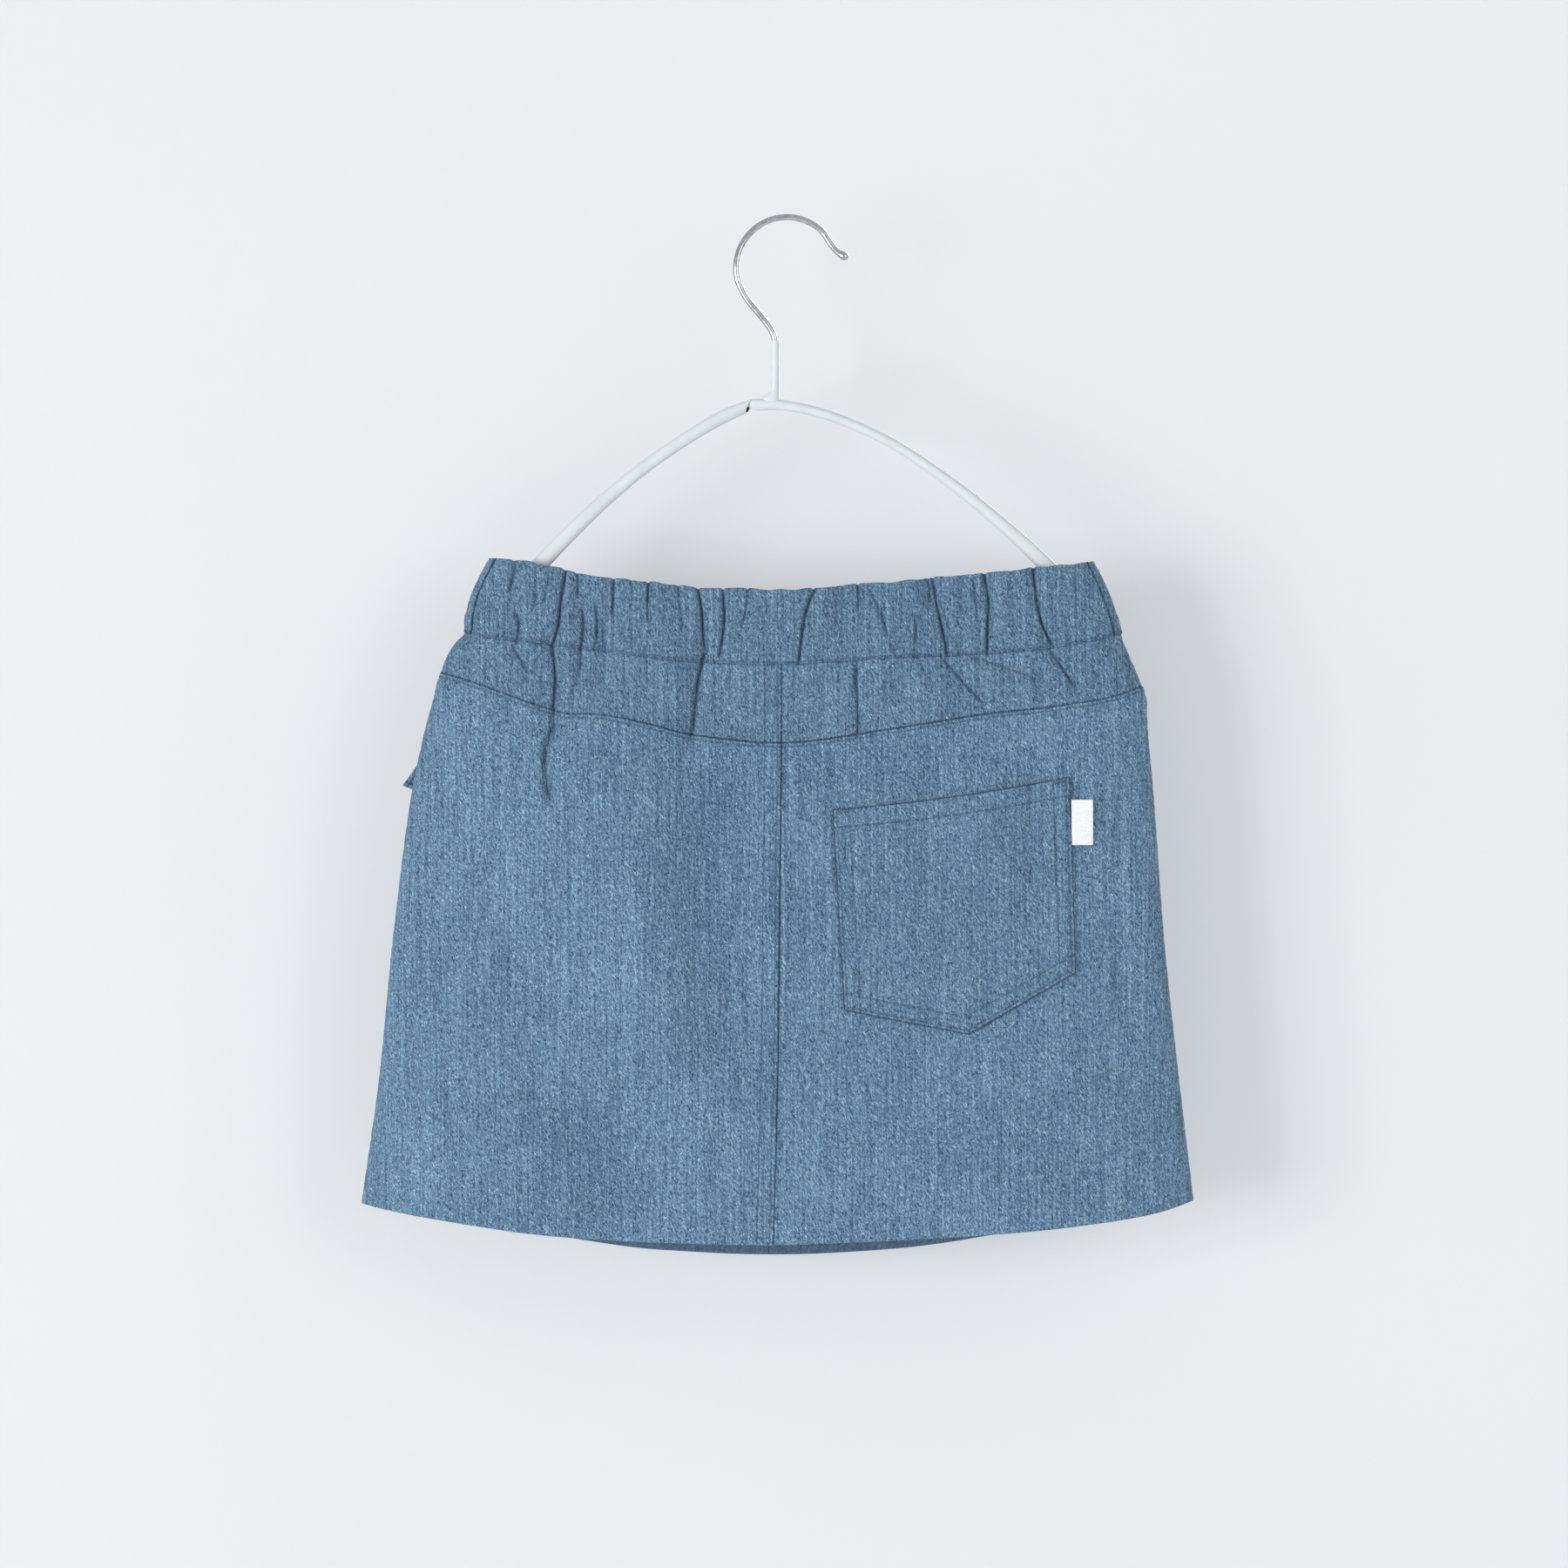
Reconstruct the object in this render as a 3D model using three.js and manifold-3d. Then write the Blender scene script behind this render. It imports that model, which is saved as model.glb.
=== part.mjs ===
// A child's denim mini skirt with a gathered elastic waist, hanging from a white hanger by its hook.
// Millimetres, +Z up, +X to the right of someone who looks at the skirt's back, +Y to its front.
// The origin is the highest point inside the hook, where it bears on a rail. A "drop" is a distance
// below that point. Every cut piece of cloth is a wall of its own, and pieces lie 0.3 mm apart at seams.
import * as THREE from "three";
import Module from "manifold-3d";
import { mergeVertices } from "three/addons/utils/BufferGeometryUtils.js";

// ---- Cloth ----
const CLOTH_WALL = 1.2; // one layer of crinkled denim
const BAND_WALL = 2.4; // two layers with the elastic between them
const HEM_WALL = 2.0; // the hem is turned up inside
const HEM_TURN = 20; // height of the turned hem
const SEAM_INSET = 0.15; // each piece stops this far short of a seam
const LAY_ON = 0.3; // between a panel and what is sewn onto it
const BAND_SIDE_SEAM = 0.072; // the front band wraps this share of a half round to the back

// ---- Silhouette: what each height measures, from the waist to the hem ----
// left and right: the side folds. depth: half the thickness of the hanging skirt, front to back.
// square: how flat the front and back lie before they turn round the side folds.
// backSeam and frontSeam: where the centre seams run.
const OUTLINE = [
  { drop: 158.5, left: -139.6, right: 142.9, depth: 8.6, square: 10, backSeam: -2.5, frontSeam: -2.5 },
  { drop: 166.7, left: -144.1, right: 147.4, depth: 8.8, square: 10, backSeam: -2.5, frontSeam: -2.5 },
  { drop: 176.6, left: -148.6, right: 151.9, depth: 9.0, square: 10, backSeam: -2.5, frontSeam: -2.6 },
  { drop: 186.4, left: -151.0, right: 155.2, depth: 9.2, square: 10, backSeam: -2.4, frontSeam: -2.7 },
  { drop: 193.8, left: -151.6, right: 157.0, depth: 9.4, square: 10, backSeam: -2.4, frontSeam: -2.8 },
  { drop: 198.5, left: -155.8, right: 158.4, depth: 9.8, square: 9.5, backSeam: -2.4, frontSeam: -2.8 },
  { drop: 204.5, left: -159.8, right: 160.9, depth: 10.3, square: 9, backSeam: -2.4, frontSeam: -2.9 },
  { drop: 212.7, left: -162.9, right: 164.6, depth: 10.9, square: 8.4, backSeam: -2.5, frontSeam: -3.0 },
  { drop: 224.1, left: -166.2, right: 168.7, depth: 11.6, square: 7.6, backSeam: -2.5, frontSeam: -3.2 },
  { drop: 240.5, left: -170.6, right: 169.9, depth: 12.6, square: 6.6, backSeam: -2.6, frontSeam: -3.5 },
  { drop: 273.3, left: -177.3, right: 172.8, depth: 14.0, square: 5.4, backSeam: -2.9, frontSeam: -4.1 },
  { drop: 338.9, left: -185.6, right: 177.6, depth: 16.5, square: 4.2, backSeam: -3.6, frontSeam: -5.4 },
  { drop: 404.5, left: -192.1, right: 184.6, depth: 18.8, square: 3.5, backSeam: -4.4, frontSeam: -6.8 },
  { drop: 461.9, left: -200.2, right: 191.4, depth: 20.8, square: 3.1, backSeam: -5.9, frontSeam: -8.0 },
  { drop: 490.0, left: -203.8, right: 194.0, depth: 21.8, square: 3, backSeam: -6.6, frontSeam: -8.5 },
];

// ---- Edges and seams that run round the skirt: their drops from the left side (-1) to the right (1) ----
const EDGES = [
  { across: -1, waist: 158.3, band: 193.8, yoke: 212.7, backHem: 462.3, frontHem: 462.6 },
  { across: -0.9, waist: 159.3, band: 196.8, yoke: 217.1, backHem: 466.0, frontHem: 466.4 },
  { across: -0.75, waist: 163.4, band: 198.9, yoke: 225.3, backHem: 470.6, frontHem: 471.2 },
  { across: -0.55, waist: 168.0, band: 202.6, yoke: 234.6, backHem: 475.8, frontHem: 478.4 },
  { across: -0.3, waist: 171.7, band: 207.4, yoke: 241.6, backHem: 479.0, frontHem: 485.6 },
  { across: 0, waist: 173.3, band: 209.2, yoke: 245.8, backHem: 480.2, frontHem: 488.5 },
  { across: 0.3, waist: 170.1, band: 206.2, yoke: 239.3, backHem: 478.0, frontHem: 485.6 },
  { across: 0.55, waist: 166.8, band: 204.4, yoke: 232.5, backHem: 475.0, frontHem: 478.2 },
  { across: 0.75, waist: 163.9, band: 202.0, yoke: 228.6, backHem: 471.0, frontHem: 472.0 },
  { across: 0.9, waist: 161.8, band: 198.2, yoke: 224.4, backHem: 466.4, frontHem: 466.8 },
  { across: 1, waist: 159.8, band: 194.6, yoke: 219.2, backHem: 461.0, frontHem: 461.3 },
];

// ---- Gathers and folds of the back: a trough runs from one place to another ----
// deep: how far it sinks in, less than 0 for a ridge. wide: half its width.
const BACK_FOLDS = [
  { x: -128, drop: 161, toX: -132, toDrop: 187, wide: 4.0, deep: 1.0 },
  { x: -104, drop: 162, toX: -109, toDrop: 198, wide: 3.4, deep: 2.0 },
  { x: -110, drop: 198, toX: -109.5, toDrop: 236, wide: 4.0, deep: 2.2 },
  { x: -109.5, drop: 236, toX: -113.5, toDrop: 266, wide: 5.5, deep: 1.2 },
  { x: -96, drop: 190, toX: -96.5, toDrop: 203, wide: 3.2, deep: 0.8 },
  { x: -80.5, drop: 170, toX: -80.5, toDrop: 182, wide: 3.2, deep: 0.9 },
  { x: -67, drop: 169, toX: -64, toDrop: 184, wide: 3.2, deep: 1.1 },
  { x: -50.5, drop: 172, toX: -50, toDrop: 184, wide: 3.2, deep: 0.7 },
  { x: -42, drop: 172, toX: -39, toDrop: 202, wide: 3.2, deep: 1.8 },
  { x: -39.5, drop: 202, toX: -45, toDrop: 244, wide: 4.2, deep: 1.8 },
  { x: -30, drop: 172, toX: -31, toDrop: 207, wide: 3.0, deep: 1.5 },
  { x: -18, drop: 172, toX: -19.5, toDrop: 190, wide: 3.0, deep: 0.8 },
  { x: 13, drop: 172, toX: 6, toDrop: 208, wide: 3.2, deep: 1.6 },
  { x: 32.6, drop: 169, toX: 33, toDrop: 181, wide: 3.2, deep: 1.0 },
  { x: 32.6, drop: 206, toX: 34, toDrop: 243, wide: 4.2, deep: 1.0 },
  { x: 60.5, drop: 185, toX: 60.5, toDrop: 206, wide: 3.2, deep: 0.6 },
  { x: 66.5, drop: 166, toX: 75, toDrop: 203, wide: 3.2, deep: 1.7 },
  { x: 75, drop: 203, toX: 91, toDrop: 223, wide: 4.2, deep: 1.5 },
  { x: 92.5, drop: 164, toX: 94.5, toDrop: 203, wide: 3.2, deep: 1.6 },
  { x: 93, drop: 205, toX: 119, toDrop: 229, wide: 6.0, deep: 0.9 },
  { x: 116, drop: 162, toX: 124.5, toDrop: 200, wide: 3.2, deep: 1.7 },
  { x: 124.5, drop: 200, toX: 132, toDrop: 217, wide: 4.2, deep: 1.3 },
  { x: -149, drop: 272, toX: -134, toDrop: 322, wide: 12, deep: 1.5 },
  { x: -88, drop: 250, toX: -48, toDrop: 410, wide: 22, deep: -2.4 },
  { x: -47, drop: 240, toX: -36, toDrop: 335, wide: 15, deep: 1.8 },
  { x: 21, drop: 250, toX: 17.5, toDrop: 288, wide: 8, deep: 1.0 },
  { x: 112, drop: 395, toX: 120, toDrop: 460, wide: 26, deep: -1.4 },
];
const FOLD_END = 9; // how far a fold takes to fade out past each end
const BAND_PUFF = 0.7; // the gathered band stands out this far between its folds
// The front is gathered in the same way, with its folds at other places.
const FRONT_SHIFT = 8;
const FRONT_FOLDS = BACK_FOLDS.map((fold) => ({
  ...fold,
  x: FRONT_SHIFT - fold.x,
  toX: FRONT_SHIFT - fold.toX,
  deep: fold.deep * 0.85,
}));

// ---- Back pocket and its label: corners on the right back panel ----
const POCKET = {
  topLeft: { x: 23.0, drop: 278.3 },
  topRight: { x: 133.9, drop: 263.1 },
  lowRight: { x: 136.6, drop: 353.7 },
  point: { x: 85.5, drop: 383.2 },
  lowLeft: { x: 26.5, drop: 371.5 },
  hem: 10, // height of the doubled mouth
  hemWall: 1.8,
  mouthLift: 1.1, // how far the mouth stands away from the panel
};
const LABEL = { left: 135.3, right: 144.2, top: 272.4, bottom: 293.7, wall: 1.0 };

// ---- Flap on the front, whose outer corner stands past the left side fold ----
const FLAP = {
  topLeft: { x: -153, drop: 226 },
  topRight: { x: -78, drop: 232 },
  lowRight: { x: -72, drop: 272 },
  point: { x: -126, drop: 288 },
  lowLeft: { x: -181, drop: 266 },
  layOn: 0.75, // it bridges the gathers under it
  lift: 1.6, // how far its lower edge stands away from the panel
  straightFrom: -0.93, // outside this place it runs on straight instead of round the side
};

// ---- Hanger ----
const WIRE = 3.4; // chromed hook wire
const HOOK_RADIUS = 23.9; // to the middle of the wire
const HOOK_CENTRE_DROP = 22.2;
const HOOK_TIP_ANGLE = 43; // degrees above +X, where the round stops
const HOOK_BACK_ANGLE = 198; // degrees, where the round runs out into the neck
const HOOK_BALL = { x: 26.9, drop: 16.7, diameter: 4.4 };
// The wire flicks out to its ball at one end of the round, and comes in to the stem at the other.
const HOOK_FLICK = [
  { x: 26.2, drop: 16.3 },
  { x: 23.6, drop: 14.7 },
  { x: 20.6, drop: 11.3 },
];
const HOOK_NECK = [
  { x: -19.6, drop: 36.4 },
  { x: -15.4, drop: 41.3 },
  { x: -10.2, drop: 47.2 },
  { x: -7.0, drop: 51.8 },
];
const COATING = 3.9; // diameter of the coated stem
const STEM = { x: -5.5, top: 56.5, bottom: 86.5 };
// The arms from the left tip to the right one. high: across the arm as seen from the back.
const ARCH = [
  { x: -145.3, drop: 193.4, high: 7.6, deep: 4.2 },
  { x: -138.5, drop: 185.2, high: 8.4, deep: 5.2 },
  { x: -128.6, drop: 174.4, high: 8.2, deep: 5.6 },
  { x: -115.6, drop: 161.0, high: 7.8, deep: 5.8 },
  { x: -100.2, drop: 145.2, high: 7.3, deep: 5.9 },
  { x: -87.9, drop: 133.4, high: 6.9, deep: 5.9 },
  { x: -66.5, drop: 115.6, high: 6.2, deep: 5.9 },
  { x: -42.4, drop: 99.6, high: 5.9, deep: 5.9 },
  { x: -30.0, drop: 93.2, high: 6.1, deep: 5.9 },
  { x: -18.4, drop: 88.9, high: 6.1, deep: 5.9 },
  { x: -15.6, drop: 88.2, high: 4.9, deep: 4.9 },
  { x: -5.0, drop: 87.3, high: 4.9, deep: 4.9 },
  { x: 8.0, drop: 89.2, high: 4.8, deep: 4.9 },
  { x: 24.0, drop: 93.4, high: 4.8, deep: 5.0 },
  { x: 42.1, drop: 100.9, high: 4.9, deep: 5.2 },
  { x: 56.0, drop: 108.6, high: 5.0, deep: 5.4 },
  { x: 81.0, drop: 126.2, high: 5.8, deep: 5.8 },
  { x: 99.9, drop: 141.7, high: 6.4, deep: 5.8 },
  { x: 115.5, drop: 155.7, high: 7.2, deep: 5.8 },
  { x: 129.0, drop: 169.3, high: 7.8, deep: 5.6 },
  { x: 141.2, drop: 183.2, high: 8.4, deep: 5.2 },
  { x: 149.6, drop: 193.8, high: 7.6, deep: 4.2 },
];

// ---- How finely the walls are drawn ----
const END_BUNCH = 0.12; // the share of a half at each side where the columns draw together
const CAP_RINGS = 3;
const HOOK_TURNS = 20;
const BAR_SIDES = { hook: 10, arch: 12, stem: 14 };

const clamp = (value, low, high) => Math.min(high, Math.max(low, value));
const mix = (from, to, share) => from + (to - from) * share;
const smooth = (share) => share * share * (3 - 2 * share);

// One column of a table at a place between its rows, on a smooth curve through them.
function along(table, key, column, at) {
  const last = table.length - 1;
  const place = clamp(at, table[0][key], table[last][key]);
  let row = 0;
  while (row < last - 1 && table[row + 1][key] < place) row += 1;
  const slopeAt = (i) => {
    const before = table[Math.max(i - 1, 0)];
    const after = table[Math.min(i + 1, last)];
    return (after[column] - before[column]) / (after[key] - before[key]);
  };
  const from = table[row];
  const to = table[row + 1];
  const span = to[key] - from[key];
  const t = (place - from[key]) / span;
  const rise = (t - 2) * t * t + t;
  const fall = (t - 1) * t * t;
  return mix(from[column], to[column], smooth(t)) + span * (rise * slopeAt(row) + fall * slopeAt(row + 1));
}

// How far a set of folds moves the cloth out at a place.
function relief(folds, x, drop) {
  let out = 0;
  for (const fold of folds) {
    const before = (fold.drop - drop) / FOLD_END;
    const after = (drop - fold.toDrop) / FOLD_END;
    const fade = 1 - smooth(clamp(Math.max(before, after), 0, 1));
    if (fade === 0) continue;
    const share = clamp((drop - fold.drop) / (fold.toDrop - fold.drop), -0.3, 1.3);
    const away = (x - mix(fold.x, fold.toX, share)) / fold.wide;
    out -= fold.deep * fade * Math.exp(-away * away);
  }
  return out;
}

// The band's puff, gone just below the band.
const puff = (across, drop) =>
  BAND_PUFF * (1 - smooth(clamp((drop - along(EDGES, "across", "band", across)) / 14, 0, 1)));

// Where a share of a half, from -1 at the left side fold to 1 at the right one, lies across it:
// even in the middle, and drawing together toward the folds, so that they stay round.
function acrossAt(share) {
  const rest = 1 - Math.abs(share);
  const scale = 1 / (1 - END_BUNCH / 2);
  const inset = rest < END_BUNCH ? (rest * rest) / (2 * END_BUNCH) : rest - END_BUNCH / 2;
  return Math.sign(share) * (1 - scale * inset);
}

// The ring runs round the skirt seen from above: -1 to 1 is the back from left to right, and 1 to 3
// the front from right to left.
function ringPlace(ring) {
  const turned = ((((ring + 1) % 4) + 4) % 4) - 1;
  return turned <= 1 ? { side: -1, across: acrossAt(turned) } : { side: 1, across: acrossAt(2 - turned) };
}

// The middle of a side's width is its centre seam.
function widthAt(side, across, drop) {
  const seam = along(OUTLINE, "drop", side < 0 ? "backSeam" : "frontSeam", drop);
  const fold = along(OUTLINE, "drop", across < 0 ? "left" : "right", drop);
  return { seam, half: Math.abs(fold - seam) };
}

// The smooth body of the skirt, without its folds.
function bodyPoint(side, across, drop) {
  const { seam, half } = widthAt(side, across, drop);
  const square = along(OUTLINE, "drop", "square", drop);
  const depth = along(OUTLINE, "drop", "depth", drop);
  const bow = Math.sqrt(Math.max(0, 1 - Math.abs(across) ** square));
  return new THREE.Vector3(seam + across * half, side * depth * bow, -drop);
}

// The direction straight out of the smooth body.
function outward(side, across, drop) {
  const step = 1e-3;
  const inner = clamp(across, -1 + 4 * step * step, 1 - 4 * step * step);
  const run = Math.min(step, (1 - Math.abs(inner)) / 2);
  const right = bodyPoint(side, inner + run, drop).sub(bodyPoint(side, inner - run, drop));
  const up = bodyPoint(side, inner, drop - 1).sub(bodyPoint(side, inner, drop + 1));
  const normal = new THREE.Vector3().crossVectors(right, up).normalize();
  return side < 0 ? normal : normal.negate();
}

// A point of the cloth, moved out by some distance, or in by less than 0.
function clothPoint(side, across, drop, out) {
  const point = bodyPoint(side, across, drop);
  const folds = side < 0 ? BACK_FOLDS : FRONT_FOLDS;
  const calm = 1 - smooth(clamp((Math.abs(across) - 0.86) / 0.12, 0, 1)); // no folds at the side folds
  const move = calm * (relief(folds, point.x, drop) + puff(across, drop));
  return point.addScaledVector(outward(side, across, drop), move + out);
}

// A closed wall between two equal grids of points, with a rim all round.
function wallBetween(outer, inner) {
  const rows = outer.length;
  const columns = outer[0].length;
  const points = [...outer.flat(), ...inner.flat()];
  const at = (layer, row, column) => layer * rows * columns + row * columns + column;
  const faces = [];
  const quad = (a, b, c, d) => faces.push(a, b, c, a, c, d);
  for (let row = 0; row + 1 < rows; row += 1)
    for (let column = 0; column + 1 < columns; column += 1) {
      quad(at(0, row, column), at(0, row + 1, column), at(0, row + 1, column + 1), at(0, row, column + 1));
      quad(at(1, row, column), at(1, row, column + 1), at(1, row + 1, column + 1), at(1, row + 1, column));
    }
  for (let column = 0; column + 1 < columns; column += 1) {
    quad(at(0, 0, column), at(0, 0, column + 1), at(1, 0, column + 1), at(1, 0, column));
    const end = rows - 1;
    quad(at(0, end, column + 1), at(0, end, column), at(1, end, column), at(1, end, column + 1));
  }
  for (let row = 0; row + 1 < rows; row += 1) {
    quad(at(0, row + 1, 0), at(0, row, 0), at(1, row, 0), at(1, row + 1, 0));
    const end = columns - 1;
    quad(at(0, row, end), at(0, row + 1, end), at(1, row + 1, end), at(1, row, end));
  }
  return facedOut(points, faces);
}

// A geometry from shared points and faces, turned round if its faces point in.
function facedOut(points, faces) {
  let volume = 0;
  for (let i = 0; i < faces.length; i += 3) {
    const [a, b, c] = [points[faces[i]], points[faces[i + 1]], points[faces[i + 2]]];
    volume += a.dot(new THREE.Vector3().crossVectors(b, c));
  }
  const index = volume < 0 ? faces.slice().reverse() : faces;
  return new THREE.BufferGeometry().setFromPoints(points).setIndex(index);
}

// How far the columns next to a seam stay from it, as a share of the ring.
function ringInset(ring, drop) {
  const step = 1e-3;
  const [before, after] = [ring - step, ring + step].map((place) => {
    const { side, across } = ringPlace(place);
    return bodyPoint(side, across, drop);
  });
  return (SEAM_INSET * 2 * step) / before.distanceTo(after);
}

// A cut piece of the skirt from one place of the ring to another, between two edges.
function skirtPiece({ from, to, top, bottom, wallAt, columns, rows, hem = false }) {
  const outer = [];
  const inner = [];
  for (let row = 0; row <= rows; row += 1) {
    outer.push([]);
    inner.push([]);
    for (let column = 0; column <= columns; column += 1) {
      const rough = ringPlace(mix(from, to, column / columns));
      const high = along(EDGES, "across", top, rough.across) + (top === "waist" ? 0 : SEAM_INSET);
      const edge = along(EDGES, "across", bottom, rough.across);
      const low = edge - (hem ? 0 : SEAM_INSET);
      const drop = mix(high, low, row / rows);
      const first = from + ringInset(from, drop);
      const final = to - ringInset(to, drop);
      const { side, across } = ringPlace(mix(first, final, column / columns));
      outer[row].push(clothPoint(side, across, drop, 0));
      inner[row].push(clothPoint(side, across, drop, -wallAt(edge - drop)));
    }
  }
  return wallBetween(outer, inner);
}

const oneLayer = () => CLOTH_WALL;
const bandLayers = () => BAND_WALL;
// The wall thickens over a few millimetres where the hem is turned up.
const turnedHem = (aboveEdge) =>
  mix(HEM_WALL, CLOTH_WALL, smooth(clamp((aboveEdge - HEM_TURN) / 6, 0, 1)));

// A patch with a straight top and a pointed bottom, laid on one side of the skirt.
function patch(side, shape, columns, rows, layersAt, straightFrom = -1) {
  const tipShare = (shape.point.x - shape.lowLeft.x) / (shape.lowRight.x - shape.lowLeft.x);
  const tipColumn = Math.round(columns * tipShare);
  const outer = [];
  const inner = [];
  for (let row = 0; row <= rows; row += 1) {
    outer.push([]);
    inner.push([]);
    for (let column = 0; column <= columns; column += 1) {
      const left = column <= tipColumn;
      const share = left ? column / tipColumn : (column - tipColumn) / (columns - tipColumn);
      const even = left ? share * tipShare : mix(tipShare, 1, share);
      const [lowFrom, lowTo] = left ? [shape.lowLeft, shape.point] : [shape.point, shape.lowRight];
      const down = row / rows;
      const x = mix(mix(shape.topLeft.x, shape.topRight.x, even), mix(lowFrom.x, lowTo.x, share), down);
      const high = mix(shape.topLeft.drop, shape.topRight.drop, even);
      const drop = mix(high, mix(lowFrom.drop, lowTo.drop, share), down);
      const { under, over } = layersAt(even, down, drop - high);
      outer[row].push(layPoint(side, x, drop, over, straightFrom));
      inner[row].push(layPoint(side, x, drop, under, straightFrom));
    }
  }
  return wallBetween(outer, inner);
}

// A point over the cloth at a given x. Outside straightFrom the cloth under it is left behind.
function layPoint(side, x, drop, out, straightFrom) {
  const { seam } = widthAt(side, 0, drop);
  const { half } = widthAt(side, x - seam, drop);
  const across = (x - seam) / half;
  const point = clothPoint(side, Math.max(across, straightFrom), drop, out);
  if (across < straightFrom) point.x += (across - straightFrom) * half;
  return point;
}

function pocketLayers(even, down, belowMouth) {
  const lift = POCKET.mouthLift * Math.sin(Math.PI * even) * (1 - down) ** 3;
  const wall = mix(POCKET.hemWall, CLOTH_WALL, smooth(clamp((belowMouth - POCKET.hem) / 4, 0, 1)));
  return { under: LAY_ON + lift, over: LAY_ON + lift + wall };
}

function flapLayers(even, down) {
  const lift = FLAP.lift * down * down;
  return { under: FLAP.layOn + lift, over: FLAP.layOn + lift + CLOTH_WALL };
}

function labelGeometry() {
  const rows = 4;
  const columns = 3;
  const steps = (from, to, count) => Array.from({ length: count + 1 }, (_, i) => mix(from, to, i / count));
  const layer = (out) =>
    steps(LABEL.top, LABEL.bottom, rows).map((drop) =>
      steps(LABEL.left, LABEL.right, columns).map((x) => layPoint(-1, x, drop, out, -1)),
    );
  return wallBetween(layer(LAY_ON + LABEL.wall), layer(LAY_ON));
}

// A solid bar in the plane of the hanger through rows of { x, drop, high, deep }, with round ends.
function bar(stations, sides) {
  const points = [];
  const ringOf = (station, along, scale, shift) => {
    const across = new THREE.Vector3(-along.z, 0, along.x);
    for (let i = 0; i < sides; i += 1) {
      const angle = (2 * Math.PI * i) / sides;
      points.push(
        new THREE.Vector3(station.x, 0, -station.drop)
          .addScaledVector(along, shift)
          .addScaledVector(across, (scale * station.high * Math.cos(angle)) / 2)
          .add(new THREE.Vector3(0, (scale * station.deep * Math.sin(angle)) / 2, 0)),
      );
    }
  };
  const heading = (i) => {
    const before = stations[Math.max(i - 1, 0)];
    const after = stations[Math.min(i + 1, stations.length - 1)];
    return new THREE.Vector3(after.x - before.x, 0, before.drop - after.drop).normalize();
  };
  const cap = (i, sign) => {
    const order = [...Array(CAP_RINGS).keys()];
    for (const step of sign < 0 ? order.reverse() : order) {
      const angle = ((step + 1) * Math.PI) / 2 / (CAP_RINGS + 1);
      const reach = (sign * stations[i].deep * Math.sin(angle)) / 2;
      ringOf(stations[i], heading(i), Math.cos(angle), reach);
    }
  };
  cap(0, -1);
  stations.forEach((station, i) => ringOf(station, heading(i), 1, 0));
  cap(stations.length - 1, 1);
  const rings = points.length / sides;
  const tip = (i, sign) =>
    new THREE.Vector3(stations[i].x, 0, -stations[i].drop).addScaledVector(
      heading(i),
      (sign * stations[i].deep) / 2,
    );
  points.push(tip(0, -1), tip(stations.length - 1, 1));
  const faces = [];
  for (let ring = 0; ring + 1 < rings; ring += 1)
    for (let i = 0; i < sides; i += 1) {
      const next = (i + 1) % sides;
      const [a, b] = [ring * sides + i, ring * sides + next];
      faces.push(a, b, b + sides, a, b + sides, a + sides);
    }
  for (let i = 0; i < sides; i += 1) {
    const next = (i + 1) % sides;
    const end = (rings - 1) * sides;
    faces.push(next, i, rings * sides);
    faces.push(end + i, end + next, rings * sides + 1);
  }
  return facedOut(points, faces);
}

// The arch's table, with a section halfway along each longer stretch.
function archStations() {
  const stations = [];
  ARCH.forEach((row, i) => {
    stations.push(row);
    const next = ARCH[i + 1];
    if (!next || next.x - row.x < 5) return;
    const x = (row.x + next.x) / 2;
    const at = (column) => along(ARCH, "x", column, x);
    stations.push({ x, drop: at("drop"), high: at("high"), deep: at("deep") });
  });
  return stations;
}

// The hook's wire from its ball tip, over the rail and down to the coated stem.
function hookStations() {
  const wireAt = ({ x, drop }) => ({ x, drop, high: WIRE, deep: WIRE });
  const round = [];
  for (let i = 0; i <= HOOK_TURNS; i += 1) {
    const angle = THREE.MathUtils.degToRad(mix(HOOK_TIP_ANGLE, HOOK_BACK_ANGLE, i / HOOK_TURNS));
    round.push({
      x: HOOK_RADIUS * Math.cos(angle),
      drop: HOOK_CENTRE_DROP - HOOK_RADIUS * Math.sin(angle),
    });
  }
  const foot = { x: STEM.x, drop: STEM.top - LAY_ON - WIRE / 2 };
  return [...HOOK_FLICK, ...round, ...HOOK_NECK, foot].map(wireAt);
}

const DENIM = new THREE.MeshStandardMaterial({ color: 0x6a8aa6, roughness: 0.95 });
const BAND_DENIM = new THREE.MeshStandardMaterial({ color: 0x5e7b97, roughness: 0.95 });
const WOVEN_LABEL = new THREE.MeshStandardMaterial({ color: 0xebf0f0, roughness: 0.8 });
const WHITE_COATING = new THREE.MeshStandardMaterial({ color: 0xe6e9eb, roughness: 0.45 });
const CHROME = new THREE.MeshStandardMaterial({ color: 0xb9b6b2, roughness: 0.15, metalness: 1 });

const skirt = new THREE.Group();

function add(name, geometry, material) {
  const mesh = new THREE.Mesh(geometry, material);
  mesh.name = name;
  skirt.add(mesh);
}

function addWaistband() {
  const band = { top: "waist", bottom: "band", wallAt: bandLayers, rows: 4 };
  const wrap = BAND_SIDE_SEAM;
  add("waistband_back", skirtPiece({ ...band, columns: 108, from: -1 + wrap, to: 1 - wrap }), BAND_DENIM);
  add("waistband_front", skirtPiece({ ...band, columns: 84, from: 1 - wrap, to: 3 + wrap }), BAND_DENIM);
}

function addYoke() {
  const yoke = { top: "band", bottom: "yoke", wallAt: oneLayer, columns: 44, rows: 4 };
  add("yoke_back_left", skirtPiece({ ...yoke, from: -1, to: 0 }), DENIM);
  add("yoke_back_right", skirtPiece({ ...yoke, from: 0, to: 1 }), DENIM);
}

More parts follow.
